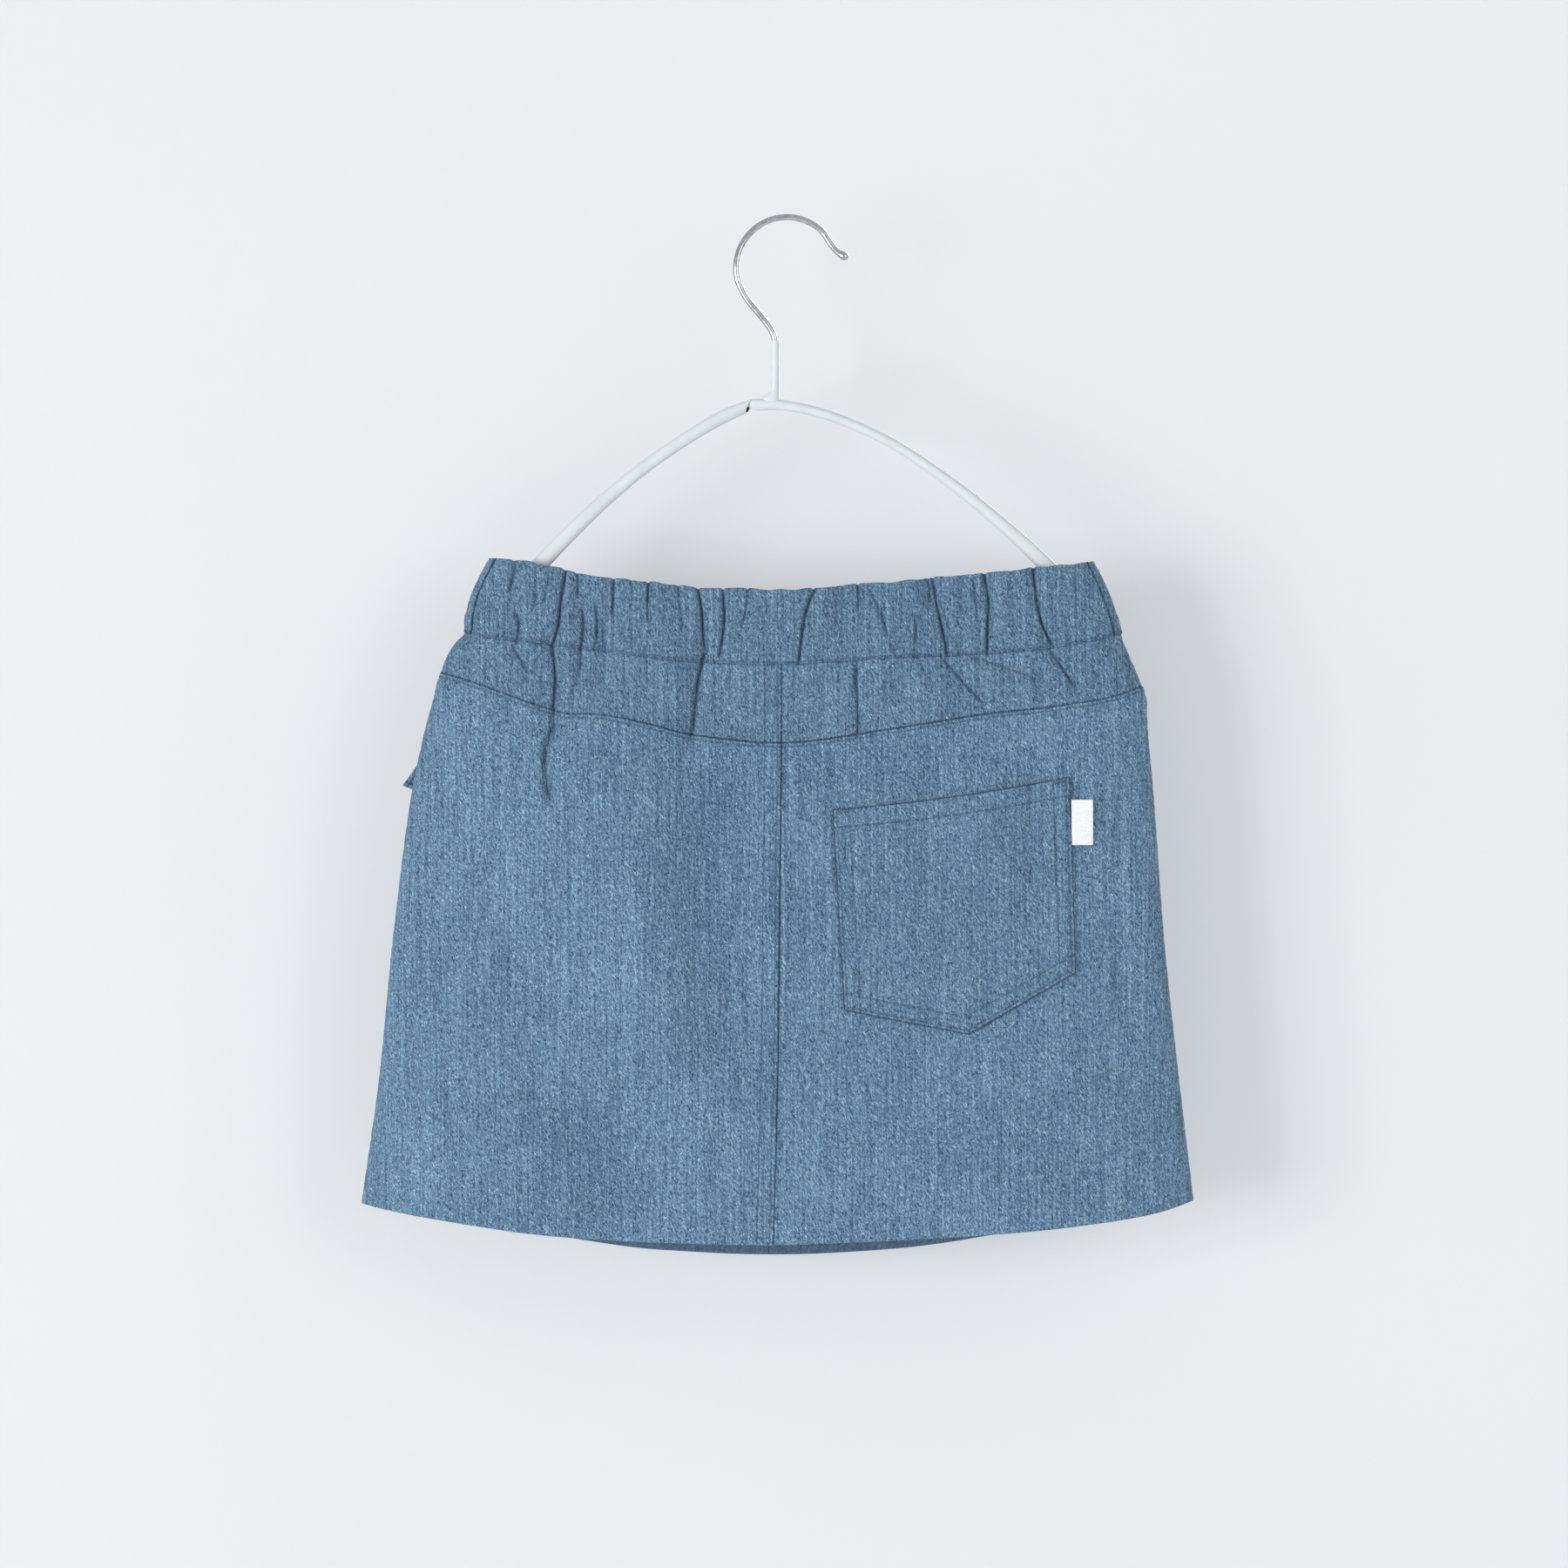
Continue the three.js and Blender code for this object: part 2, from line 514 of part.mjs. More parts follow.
function addPanels() {
  const back = { top: "yoke", bottom: "backHem", wallAt: turnedHem, columns: 30, rows: 11, hem: true };
  const front = { top: "band", bottom: "frontHem", wallAt: turnedHem, columns: 26, rows: 12, hem: true };
  add("back_panel_left", skirtPiece({ ...back, from: -1, to: 0 }), DENIM);
  add("back_panel_right", skirtPiece({ ...back, from: 0, to: 1 }), DENIM);
  add("front_panel_right", skirtPiece({ ...front, from: 1, to: 2 }), DENIM);
  add("front_panel_left", skirtPiece({ ...front, from: 2, to: 3 }), DENIM);
}

function addPocketAndFlap() {
  add("back_pocket", patch(-1, POCKET, 14, 10, pocketLayers), DENIM);
  add("pocket_label", labelGeometry(), WOVEN_LABEL);
  add("front_pocket_flap", patch(1, FLAP, 10, 5, flapLayers, FLAP.straightFrom), DENIM);
}

const wasm = await Module();
wasm.setup();

function solidOf(geometry) {
  const bare = new THREE.BufferGeometry()
    .setAttribute("position", geometry.getAttribute("position"))
    .setIndex(geometry.index);
  const merged = mergeVertices(bare, 1e-4);
  return new wasm.Manifold(
    new wasm.Mesh({
      numProp: 3,
      vertProperties: merged.attributes.position.array,
      triVerts: new Uint32Array(merged.index.array),
    }),
  );
}

function geometryOf(solid) {
  const { vertProperties, triVerts } = solid.getMesh();
  return new THREE.BufferGeometry()
    .setAttribute("position", new THREE.BufferAttribute(vertProperties, 3))
    .setIndex(new THREE.BufferAttribute(triVerts, 1));
}

function addHanger() {
  const stem = new THREE.CylinderGeometry(COATING / 2, COATING / 2, STEM.bottom - STEM.top, BAR_SIDES.stem);
  stem.rotateX(Math.PI / 2);
  stem.translate(STEM.x, 0, -(STEM.top + STEM.bottom) / 2);
  const arch = solidOf(bar(archStations(), BAR_SIDES.arch)).add(solidOf(stem));
  add("hanger_arch", geometryOf(arch), WHITE_COATING);
  const ball = new THREE.SphereGeometry(HOOK_BALL.diameter / 2, 14, 10);
  ball.translate(HOOK_BALL.x, 0, -HOOK_BALL.drop);
  const hook = solidOf(bar(hookStations(), BAR_SIDES.hook)).add(solidOf(ball));
  add("hanger_hook", geometryOf(hook), CHROME);
}

addWaistband();
addYoke();
addPanels();
addPocketAndFlap();
addHanger();

export default skirt;
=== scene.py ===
"""Looks for a child's denim mini skirt that hangs, back to the front, from a white hanger.

+Z is up, +X to the right of someone who faces the skirt's back, and +Y runs from its back to its
front. The origin is the highest point inside the hook. Tables are in millimetres, and a drop is a
distance below the origin. Blender's own scene is in metres.
"""

import math

import bpy
import numpy as np
from mathutils import Matrix, Vector


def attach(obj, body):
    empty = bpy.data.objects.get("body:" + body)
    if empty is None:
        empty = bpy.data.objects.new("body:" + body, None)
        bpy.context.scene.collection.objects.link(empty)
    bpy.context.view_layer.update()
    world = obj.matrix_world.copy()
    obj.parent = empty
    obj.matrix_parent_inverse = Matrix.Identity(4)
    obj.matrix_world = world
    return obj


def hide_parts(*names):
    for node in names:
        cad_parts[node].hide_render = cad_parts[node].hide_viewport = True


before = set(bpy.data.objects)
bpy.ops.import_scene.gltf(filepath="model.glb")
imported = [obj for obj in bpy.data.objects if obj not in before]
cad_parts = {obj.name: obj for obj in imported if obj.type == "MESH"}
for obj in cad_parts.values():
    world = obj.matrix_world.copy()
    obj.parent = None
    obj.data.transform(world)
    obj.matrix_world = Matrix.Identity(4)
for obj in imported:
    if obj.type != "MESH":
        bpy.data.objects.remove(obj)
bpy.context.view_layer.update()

MM = 0.001
BODY = "root"


def table(columns, rows):
    """A table of numbers, with its columns by name."""
    return dict(zip(columns.split(), np.array(rows, float).T))


# ---- The cut of the skirt, as its solids have it ----

# left and right: the side folds. depth: half the hanging skirt's thickness. square: how flat the
# front and back lie before they turn round the side folds. Then where the centre seams run.
OUTLINE = table(
    "drop left right depth square back_seam front_seam",
    [
        (158.5, -139.6, 142.9, 8.6, 10, -2.5, -2.5),
        (166.7, -144.1, 147.4, 8.8, 10, -2.5, -2.5),
        (176.6, -148.6, 151.9, 9.0, 10, -2.5, -2.6),
        (186.4, -151.0, 155.2, 9.2, 10, -2.4, -2.7),
        (193.8, -151.6, 157.0, 9.4, 10, -2.4, -2.8),
        (198.5, -155.8, 158.4, 9.8, 9.5, -2.4, -2.8),
        (204.5, -159.8, 160.9, 10.3, 9, -2.4, -2.9),
        (212.7, -162.9, 164.6, 10.9, 8.4, -2.5, -3.0),
        (224.1, -166.2, 168.7, 11.6, 7.6, -2.5, -3.2),
        (240.5, -170.6, 169.9, 12.6, 6.6, -2.6, -3.5),
        (273.3, -177.3, 172.8, 14.0, 5.4, -2.9, -4.1),
        (338.9, -185.6, 177.6, 16.5, 4.2, -3.6, -5.4),
        (404.5, -192.1, 184.6, 18.8, 3.5, -4.4, -6.8),
        (461.9, -200.2, 191.4, 20.8, 3.1, -5.9, -8.0),
        (490.0, -203.8, 194.0, 21.8, 3, -6.6, -8.5),
    ],
)

# The drops of the edges and seams that run round the skirt, from its left fold (-1) to its right
# one (1).
EDGES = table(
    "across waist band yoke back_hem front_hem",
    [
        (-1, 158.3, 193.8, 212.7, 462.3, 462.6),
        (-0.9, 159.3, 196.8, 217.1, 466.0, 466.4),
        (-0.75, 163.4, 198.9, 225.3, 470.6, 471.2),
        (-0.66, 165.6, 200.5, 229.8, 473.1, 474.5),
        (-0.61, 166.8, 201.5, 231.8, 474.5, 476.3),
        (-0.5, 168.9, 203.6, 232.9, 476.7, 480.0),
        (-0.36, 171.0, 206.5, 237.4, 478.5, 484.3),
        (-0.27, 172.0, 207.8, 241.2, 479.2, 486.1),
        (0, 173.3, 209.2, 245.8, 480.2, 488.5),
        (0.3, 170.1, 206.2, 239.3, 478.0, 485.6),
        (0.55, 166.8, 204.4, 232.5, 475.0, 478.2),
        (0.75, 163.9, 202.0, 228.6, 471.0, 472.0),
        (0.9, 161.8, 198.2, 224.4, 466.4, 466.8),
        (1, 159.8, 194.6, 219.2, 461.0, 461.3),
    ],
)

# Gathers and folds of the back. Each trough runs from one place to another. deep: how far it sinks,
# less than 0 for a ridge. wide: half its width. sharp: the share of it that is a narrow crease.
BACK_FOLDS = table(
    "x drop to_x to_drop wide deep sharp bow",
    [
        (-140.5, 174, -139.5, 188, 3.0, 1.3, 0.6, 0.3),
        (-128.5, 160, -130, 174, 3.6, 1.9, 0.75, 0.8),
        (-129, 172, -132, 187, 4.0, 0.8, 0.3, 0),
        (-127, 184, -127.5, 199, 3.2, 1.5, 0.7, 1.2),
        (-128, 201, -122.5, 212, 3.8, 1.6, 0.5, 0.4),
        (-112, 163, -114.5, 180, 3.4, 1.1, 0.45, 0.6),
        (-104, 162, -109.7, 199, 3.4, 2.3, 0.8, 1.0),
        (-110, 200, -109.7, 236, 4.0, 2.4, 0.75, 0.7),
        (-109.4, 236, -111.6, 272, 5.0, 2.9, 0.6, -2.8),
        (-99, 163, -97.8, 178, 3.2, 1.5, 0.6, 0.3),
        (-96.3, 184, -97.2, 204, 3.2, 1.7, 0.7, 1.4),
        (-96.5, 205, -102, 228, 5.5, 1.6, 0.3, 0.8),
        (-89.8, 182, -89.3, 200, 3.0, 1.5, 0.65, 0.3),
        (-86.3, 192, -86, 202, 2.8, 1.1, 0.6, 0.2),
        (-81.6, 168, -81.8, 186, 3.2, 1.7, 0.65, 0.4),
        (-73, 169, -72, 180, 3.2, 1.0, 0.4, 0),
        (-65.2, 169, -64.6, 189, 3.0, 1.4, 0.75, -0.6),
        (-51, 171, -49.6, 192, 3.8, 1.6, 0.5, 0.2),
        (-42.2, 172, -38.5, 201, 3.2, 2.2, 0.8, 0.4),
        (-38.8, 202, -45, 244, 4.2, 2.2, 0.7, -0.4),
        (-29.7, 173, -31.4, 206, 3.0, 1.8, 0.75, 0.7),
        (-18.6, 172, -20.3, 190, 2.8, 1.3, 0.7, 0),
        (13.4, 173, 5.6, 208, 3.0, 1.9, 0.8, -1.8),
        (22.5, 174, 22, 192, 4.2, 1.0, 0.3, 0.5),
        (32.6, 170, 33.1, 183, 3.0, 1.3, 0.7, 0.2),
        (35.5, 175, 46.5, 202, 3.0, -0.6, 0.2, 1.0),
        (38.7, 174, 49.4, 202, 3.0, 1.1, 0.6, 0.8),
        (32.6, 209, 32.8, 243, 4.0, 1.9, 0.75, 0.3),
        (59.5, 186, 59.7, 206, 3.2, 1.4, 0.6, 0.3),
        (66.0, 167, 66.8, 180, 2.8, 1.4, 0.6, 0.3),
        (67.4, 168, 74.7, 205, 3.2, 2.0, 0.8, 0.6),
        (73.5, 206, 91.6, 227, 4.0, 1.8, 0.65, -0.8),
        (92.2, 165, 93.4, 204, 3.2, 2.0, 0.8, 1.6),
        (86, 205, 114, 214.5, 5.5, 1.8, 0.4, 0.8),
        (116, 213, 117.5, 228, 6.0, 1.3, 0.3, 0),
        (115.7, 163, 124.3, 200, 3.2, 2.1, 0.8, -2.4),
        (123.2, 202, 135.2, 220, 4.2, 1.5, 0.55, 0.4),
        (-117.4, 164, -119.8, 184, 3.6, 1.1, 0.3, 0.6),
        (-110.4, 165, -110.2, 176, 3.0, 0.9, 0.4, 0),
        (-87.2, 206, -90.6, 219, 3.6, -0.9, 0, 0),
        (-73.8, 186, -72.6, 203, 4.0, 0.8, 0.25, 0.4),
        (-8.0, 174, -7.0, 190, 4.2, 0.8, 0.2, 0.3),
        (26.2, 172, 26.6, 181, 2.8, 0.9, 0.4, 0),
        (72.8, 183, 78.4, 201, 3.5, 1.0, 0.35, 0.4),
        (81.0, 168, 81.6, 184, 4.0, 0.7, 0.2, 0),
        (87.4, 168, 88.8, 190, 3.2, 1.1, 0.4, 0.3),
        (105.0, 164, 103.2, 178, 3.4, 0.9, 0.35, 0.3),
        (108.8, 176, 110.0, 199, 4.0, 0.8, 0.2, 0.4),
        (61.3, 206, 64.8, 215, 3.0, 1.2, 0.5, 0.2),
        (134.0, 162, 138.6, 194, 3.6, 1.2, 0.4, -0.8),
        (-34, 206, -38.5, 242, 6.0, 1.5, 0, 0),
        (-103.5, 204, -104, 234, 6.0, 1.1, 0, 0.4),
        (-118, 206, -124, 224, 6.0, 1.0, 0.15, 0.5),
        (-86, 206, -92, 226, 6.5, 1.1, 0.1, 0.8),
        (-74, 205, -78, 232, 7.0, -0.9, 0, 0.5),
        (-64, 208, -67, 236, 5.5, 0.9, 0.15, -0.5),
        (-28, 212, -33, 236, 6.5, 0.8, 0.1, 0.4),
        (-16, 214, -18, 232, 5.0, -0.5, 0, 0),
        (14, 212, 12, 238, 6.0, 0.7, 0.1, 0),
        (46, 206, 50, 230, 6.0, 0.8, 0.1, 0.4),
        (62, 210, 66, 236, 7.0, -0.7, 0, 0.5),
        (104, 212, 112, 232, 6.0, 0.8, 0.1, 0.4),
        (140, 200, 147, 224, 6.0, 0.9, 0.2, 0.4),
        (-149, 272, -134, 322, 12, 1.7, 0, 0),
        (-88, 250, -50, 400, 21, -4.6, 0, 0),
        (-42, 236, -30, 385, 15, 3.6, 0, 0),
        (-122, 330, -104, 372, 15, 1.6, 0, 0),
        (-150, 388, -136, 480, 24, -2.2, 0, 0),
        (-84, 405, -70, 480, 17, 2.3, 0, 0),
        (-40, 420, -34, 480, 16, -1.2, 0, 0),
        (-166, 300, -168, 360, 10, 0.9, 0, 0),
        (21, 250, 17.5, 288, 8, 1.2, 0.2, 0),
        (60, 246, 66, 262, 11, 0.9, 0.1, 0),
        (12, 300, 15, 420, 9, 0.8, 0, 0),
        (60, 398, 48, 470, 16, 1.1, 0, 0),
        (112, 392, 120, 470, 24, -1.8, 0, 0),
        (152, 300, 158, 400, 10, 1.1, 0, 0),
        (160, 420, 166, 470, 12, -0.8, 0, 0),
    ],
)
FRONT_SHIFT = 8  # the front's folds are the back's, turned round and moved this far
FRONT_DEPTH = 0.85  # and this much as deep
FOLD_END = 9  # how far a fold takes to fade out past each end
NARROW_FOLD = 8  # a wider fold than this fades out over its own width
FOLD_SPREAD = 1.25  # how far a fold's soft trough spreads, as a share of its width
FOLD_WANDER = 0.35  # how far a fold strays from its line
CREASE = 0.2  # a crease's width, as a share of its fold's
CREASE_END = 6
CREASE_SHARE = 0.62  # how much of a sharp fold is crease and no soft trough
CREASE_EXTRA = 1.05  # how much deeper a crease is than the fold it lies in
FULL_CREASE_SHADE = 1.25  # how deep a fold is whose creases get the darkest painted shade
LAPPED = 0.3  # how far a fold leans over to one side
BAND_PUFF = 0.7  # how far the elastic puffs the waistband out
PUFF_END = 14
CALM_FROM = 0.86  # toward the side folds the relief dies out, from this place across
CALM_REACH = 0.12

FRONT_FOLDS = {
    **BACK_FOLDS,
    "x": FRONT_SHIFT - BACK_FOLDS["x"],
    "to_x": FRONT_SHIFT - BACK_FOLDS["to_x"],
    "deep": FRONT_DEPTH * BACK_FOLDS["deep"],
    "bow": -BACK_FOLDS["bow"],
}

# Painted light and shade of the panels' broad folds: painted lighter, or darker if less than 0.
FOLD_LIGHT_SHADE = table(
    "x drop wide high light",
    [
        (-138, 285, 26, 34, 0.04),
        (-34, 280, 26, 42, -0.1),
        (-84, 355, 24, 34, 0.05),
        (-33, 362, 16, 34, -0.05),
        (-148, 362, 17, 26, -0.035),
        (-162, 436, 24, 28, 0.045),
        (-96, 436, 28, 26, -0.06),
        (-35, 440, 22, 26, 0.035),
        (70, 256, 52, 12, -0.04),
        (92, 440, 34, 22, -0.03),
        (28, 436, 20, 28, 0.02),
    ],
)
FRONT_FOLD_LIGHT_SHADE = 0.5  # how strong the painted fold light and shade is on the front, against the back's

# Low waves over all of the cloth, no two of one length, so that no stretch lies dead flat.
WAVES = table(
    "per_x per_drop turn high",
    [
        (1 / 61, 1 / 143, 0.4, 0.22),
        (-1 / 37, 1 / 88, 2.1, 0.12),
        (1 / 23, 1 / 51, 4.0, 0.07),
        (-1 / 97, 1 / 59, 5.2, 0.16),
    ],
)

CLOTH_WALL = 1.2
BAND_WALL = 2.4  # the folded casing with its elastic
HEM_WALL = 2.0
HEM_TURN = 20  # how high the hem is turned up
HEM_STEP = 1.2  # over which the wall grows thicker at the hem's stitches
TURNED_FADE = 0.8  # over which the turned-up cloth starts, on the inside
NO_HEM = 1e3  # the height over a hem where there is none
WAIST_DRAWN = 0.45  # how far the gathers draw the waist's edge down, and more at a crease
WAIST_CREASE = 1.1
GATHER_AT = 3  # how far below the edge a crease counts
SEAM_INSET = -0.02  # how far a piece stays from its seam's line, and over it if less than 0
LAY_ON = 0.3  # between a panel and what is sewn on it
PATCH_CREASE_SHADE = 0.5  # how much of the painted shade of the creases under it is painted on what is sewn over it
EDGE_ROUND = 0.4  # how far in from an edge its wall rounds over
TURNED_EDGE = 0.1  # how thick a free edge still is, as a share of its wall
BAND_SIDE_SEAM = 0.072  # how far past the side folds the waistband's side seams lie, on the ring
END_BUNCH = 0.12  # the share of the way across where places lie closer, toward a side fold
NEAR_FOLD = 4e-6  # as near as it may come to the side fold, where the form turns round

# The columns and rows of each grid, without the lines beside its edges.
BAND_GRID = (500, 28)
YOKE_GRID = (230, 40)
PANEL_GRID = (150, 170)
POCKET_GRID = (84, 84)
FLAP_GRID = (60, 36)
LABEL_GRID = (6, 16)

# How a seam's layers stand up beside it: the pressed-over side is higher, and puckers at its
# stitches.
LAP_HIGH = 0.35
LAP_WIDE = 9.0
LAP_STEP = 1.6
PUCKER_HIGH = 0.16
PUCKER_REACH = 6.0
# How thick the wall still is in a seam's groove, as a share: a pressed seam, and the band's
# flatter one.
PLAIN_SEAM = 0.5
BAND_SEAM = 0.82

POCKET = {
    "top_left": (21.2, 276.9),
    "top_right": (132.2, 261.6),
    "low_right": (135.1, 353.4),
    "point": (84.7, 382.2),
    "low_left": (26.6, 370.9),
    "sag": 1.9,
    "hem": 8.6,
    "hem_wall": 1.8,
    "step": 1.4,
    "mouth_lift": 1.1,
}
FLAP = {
    "top_left": (-153, 226),
    "top_right": (-78, 232),
    "low_right": (-72, 272),
    "point": (-126, 288),
    "low_left": (-181, 266),
    "lay_on": 0.75,
    "lift": 1.6,
    "straight_from": -0.93,
}
LABEL = {"left": 133.0, "right": 143.2, "top": 272.4, "bottom": 293.7, "wall": 1.0}

# ---- Hanger ----
WIRE = 3.0  # chromed wire of the hook
HOOK_RADIUS = 23.9  # to the middle of the wire
HOOK_CENTRE_DROP = 22.2
HOOK_TIP_ANGLE = 43  # degrees above +X, where the round stops
HOOK_BACK_ANGLE = 198  # degrees, where the round runs out into the neck
HOOK_STEPS = 36
# From the ball tip to the round: a ball, and the flick of the wire behind it.
HOOK_TIP = table(
    "x drop thick",
    [
        (28.8, 17.8, 1.2),
        (28.4, 17.5, 2.8),
        (27.8, 17.2, 3.9),
        (26.9, 16.7, 4.4),
        (26.1, 16.2, 4.1),
        (25.4, 15.8, 3.4),
        (23.6, 14.7, WIRE),
        (20.6, 11.3, WIRE),
    ],
)
HOOK_NECK = table(
    "x drop thick",
    [
        (-19.6, 36.4, WIRE),
        (-15.4, 41.3, WIRE),
        (-10.2, 47.2, WIRE),
        (-7.0, 51.8, WIRE),
        (-5.6, 55.6, WIRE),
        (-5.5, 59.0, WIRE),
    ],
)
# The coated stem, from the drip where the wire goes in to the weld that spreads over the arms.
STEM = table(
    "x drop high deep",
    [
        (-5.5, 56.1, 3.4, 3.4),
        (-5.5, 56.5, 3.7, 3.7),
        (-5.5, 57.6, 3.85, 3.8),
        (-5.5, 66.0, 3.75, 3.75),
        (-5.5, 76.0, 3.8, 3.8),
        (-5.6, 79.5, 4.0, 3.9),
        (-5.9, 81.5, 4.6, 4.1),
        (-6.6, 83.0, 6.4, 4.4),
        (-7.4, 84.2, 9.0, 4.7),
        (-7.6, 85.8, 10.4, 4.6),
    ],
)
# The arms, from the left tip to the right one. high: across an arm as seen from the back.
ARMS = table(
    "x drop high deep",
    [
        (-145.3, 193.4, 7.6, 4.2),
        (-138.5, 185.2, 8.4, 5.2),
        (-128.6, 174.4, 8.2, 5.6),
        (-115.6, 161.0, 7.8, 5.8),
        (-100.2, 145.2, 7.3, 5.9),
        (-87.9, 133.4, 6.9, 5.9),
        (-66.5, 115.6, 6.2, 5.9),
        (-42.4, 99.3, 6.3, 5.9),
        (-30.0, 92.2, 6.5, 5.9),
        (-24.5, 89.7, 6.2, 5.9),
        (-18.0, 87.4, 5.6, 5.8),
        (-14.8, 86.7, 5.9, 4.9),
        (-9.5, 86.4, 5.9, 4.9),
        (-4.0, 86.6, 5.1, 4.9),
        (8.0, 88.5, 4.8, 4.9),
        (24.0, 93.1, 4.8, 5.0),
        (42.1, 100.9, 4.9, 5.2),
        (56.0, 108.6, 5.0, 5.4),
        (81.0, 126.2, 5.8, 5.8),
        (99.9, 141.7, 6.4, 5.8),
        (115.5, 155.7, 7.2, 5.8),
        (129.0, 169.3, 7.8, 5.6),
        (141.2, 183.2, 8.4, 5.2),
        (149.6, 193.8, 7.6, 4.2),
    ],
)
ARM_STEP = 5.5
BAR_SIDES = 16  # of a section, before it is rounded
TUBE_MOUTH_X = -18.0  # the left arm is a tube, open here, and the right one is a rod that goes in
MOUTH_SLANT = math.radians(42)
MOUTH_TURN = math.radians(15)
# The mouth's rim and bore: how far ahead each ring lies, and its size as a share of the tube's.
MOUTH_RINGS = ((0.12, 0.93), (0.02, 0.84), (-0.5, 0.8), (-7.0, 0.8))
BORE_END_X = TUBE_MOUTH_X - 11
BORE_FACING = -0.6  # a face of the bore looks toward the tube's axis at least this straight
BORE_MIDDLE = 0.25  # or closes the bore, within this share of the tube's height of its axis
# The rod's thinner end, which lies against the top of the tube, and where its full section starts.
ROD_END = table(
    "x drop high deep",
    [
        (-21.5, 87.0, 2.4, 2.6),
        (-18.8, 86.1, 2.8, 3.2),
        (-16.9, 86.1, 4.4, 4.2),
    ],
)
ROD_START_X = -14.8
ROUND_END_STEPS = (0.45, 0.8, 0.98)  # of the way to the end of a round tip

# ---- Sewing ----
STITCH_PITCH = 2.35
STITCH_LONG = 1.75
THREAD = 0.36  # diameter
EDGE_ROW = 1.9  # from a seam or edge to the first row of stitches
SECOND_ROW = 7.8
BAND_ROW = 1.1
THREAD_ROWS = (EDGE_ROW, SECOND_ROW)
TACK_PITCH = 0.7
TACK_LONG = 0.62
TACK_SHADE = 0.4
TACK_ROWS = (0.9, 1.5, 2.1)
TACK_RUNS = ((1.6, 10), (-9.6, 7.4))  # where each tack starts along the mouth, and its length
# A stitch from end to end: the thread's share of its thickness, and how high it lies in threads.
STITCH_THICK = np.array([0.45, 0.95, 1, 0.95, 0.45])
STITCH_HIGH = np.array([-0.5, 0.12, 0.28, 0.12, -0.5])
THREAD_SIDES = 6
# The piece and the edge that each row follows, how far in it lies, and how far it stops short at
# each end.
STITCHES = {
    "yoke_stitches": [
        ("back_panel_left", "top", EDGE_ROW),
        ("back_panel_right", "top", EDGE_ROW),
    ],
    "centre_back_stitches": [
        ("yoke_back_left", "right", EDGE_ROW),
        ("yoke_back_left", "right", SECOND_ROW),
        ("back_panel_left", "right", EDGE_ROW),
        ("back_panel_left", "right", SECOND_ROW),
    ],
    "waistband_stitches": [
        ("waistband_back", "bottom", BAND_ROW),
        ("waistband_front", "bottom", BAND_ROW),
    ],
    "centre_front_stitches": [
        ("front_panel_left", "left", EDGE_ROW),
        ("front_panel_left", "left", SECOND_ROW),
    ],
    "pocket_stitches": [
        ("back_pocket", "left", EDGE_ROW),
        ("back_pocket", "right", EDGE_ROW),
        ("back_pocket", "bottom", EDGE_ROW, (EDGE_ROW, EDGE_ROW)),
        ("back_pocket", "left", SECOND_ROW, (POCKET["hem"], SECOND_ROW)),
        ("back_pocket", "right", SECOND_ROW, (POCKET["hem"], SECOND_ROW)),
        ("back_pocket", "bottom", SECOND_ROW, (SECOND_ROW, SECOND_ROW)),
        ("back_pocket", "top", POCKET["hem"], (EDGE_ROW, EDGE_ROW)),
    ],
}


# ---- Places on the skirt ----


def smooth(share):
    return share * share * (3 - 2 * share)


def fade(value, start, reach):
    """1 up to start, falling smoothly to 0 over reach."""
    return 1 - smooth(np.clip((value - start) / reach, 0, 1))


def along(rows, key, column, at):
    """A column of a table between its rows, on the smooth curve that the solids follow."""
    keys, values = rows[key], rows[column]
    before = np.r_[0, np.arange(len(keys) - 1)]
    after = np.r_[np.arange(1, len(keys)), len(keys) - 1]
    slopes = (values[after] - values[before]) / (keys[after] - keys[before])
    place = np.clip(at, keys[0], keys[-1])
    row = np.clip(np.searchsorted(keys, place) - 1, 0, len(keys) - 2)
    span = keys[row + 1] - keys[row]
    t = (place - keys[row]) / span
    curve = (t - 2) * t * t + t, (t - 1) * t * t
    line = values[row] + (values[row + 1] - values[row]) * smooth(t)
    return line + span * (curve[0] * slopes[row] + curve[1] * slopes[row + 1])


def edge_at(edge, across):
    return along(EDGES, "across", edge, across)


def width_at(side, across, drop):
    """The centre seam's x, and the width from it to the side fold."""
    columns = ("back_seam", "front_seam", "left", "right")
    back, front, left, right = (along(OUTLINE, "drop", column, drop) for column in columns)
    seam = np.where(side < 0, back, front)
    return seam, np.where(across < 0, seam - left, right - seam)


def body_point(side, across, drop):
    """The smooth body of the skirt, without its folds."""
    seam, half = width_at(side, across, drop)
    square = along(OUTLINE, "drop", "square", drop)
    depth = along(OUTLINE, "drop", "depth", drop)
    bow = np.sqrt(np.maximum(0, 1 - np.abs(across) ** square))
    return np.stack([seam + across * half, side * depth * bow, -drop], -1)


def outward(side, across, drop):
    """The direction straight out of the smooth body."""
    inner = np.clip(across, -1 + NEAR_FOLD, 1 - NEAR_FOLD)
    run = np.minimum(1e-3, (1 - np.abs(inner)) / 2)
    right = body_point(side, inner + run, drop) - body_point(side, inner - run, drop)
    up = body_point(side, inner, drop - 1) - body_point(side, inner, drop + 1)
    normal = np.cross(right, up)
    normal /= np.linalg.norm(normal, axis=-1, keepdims=True)
    return normal * -np.sign(side)[..., None]


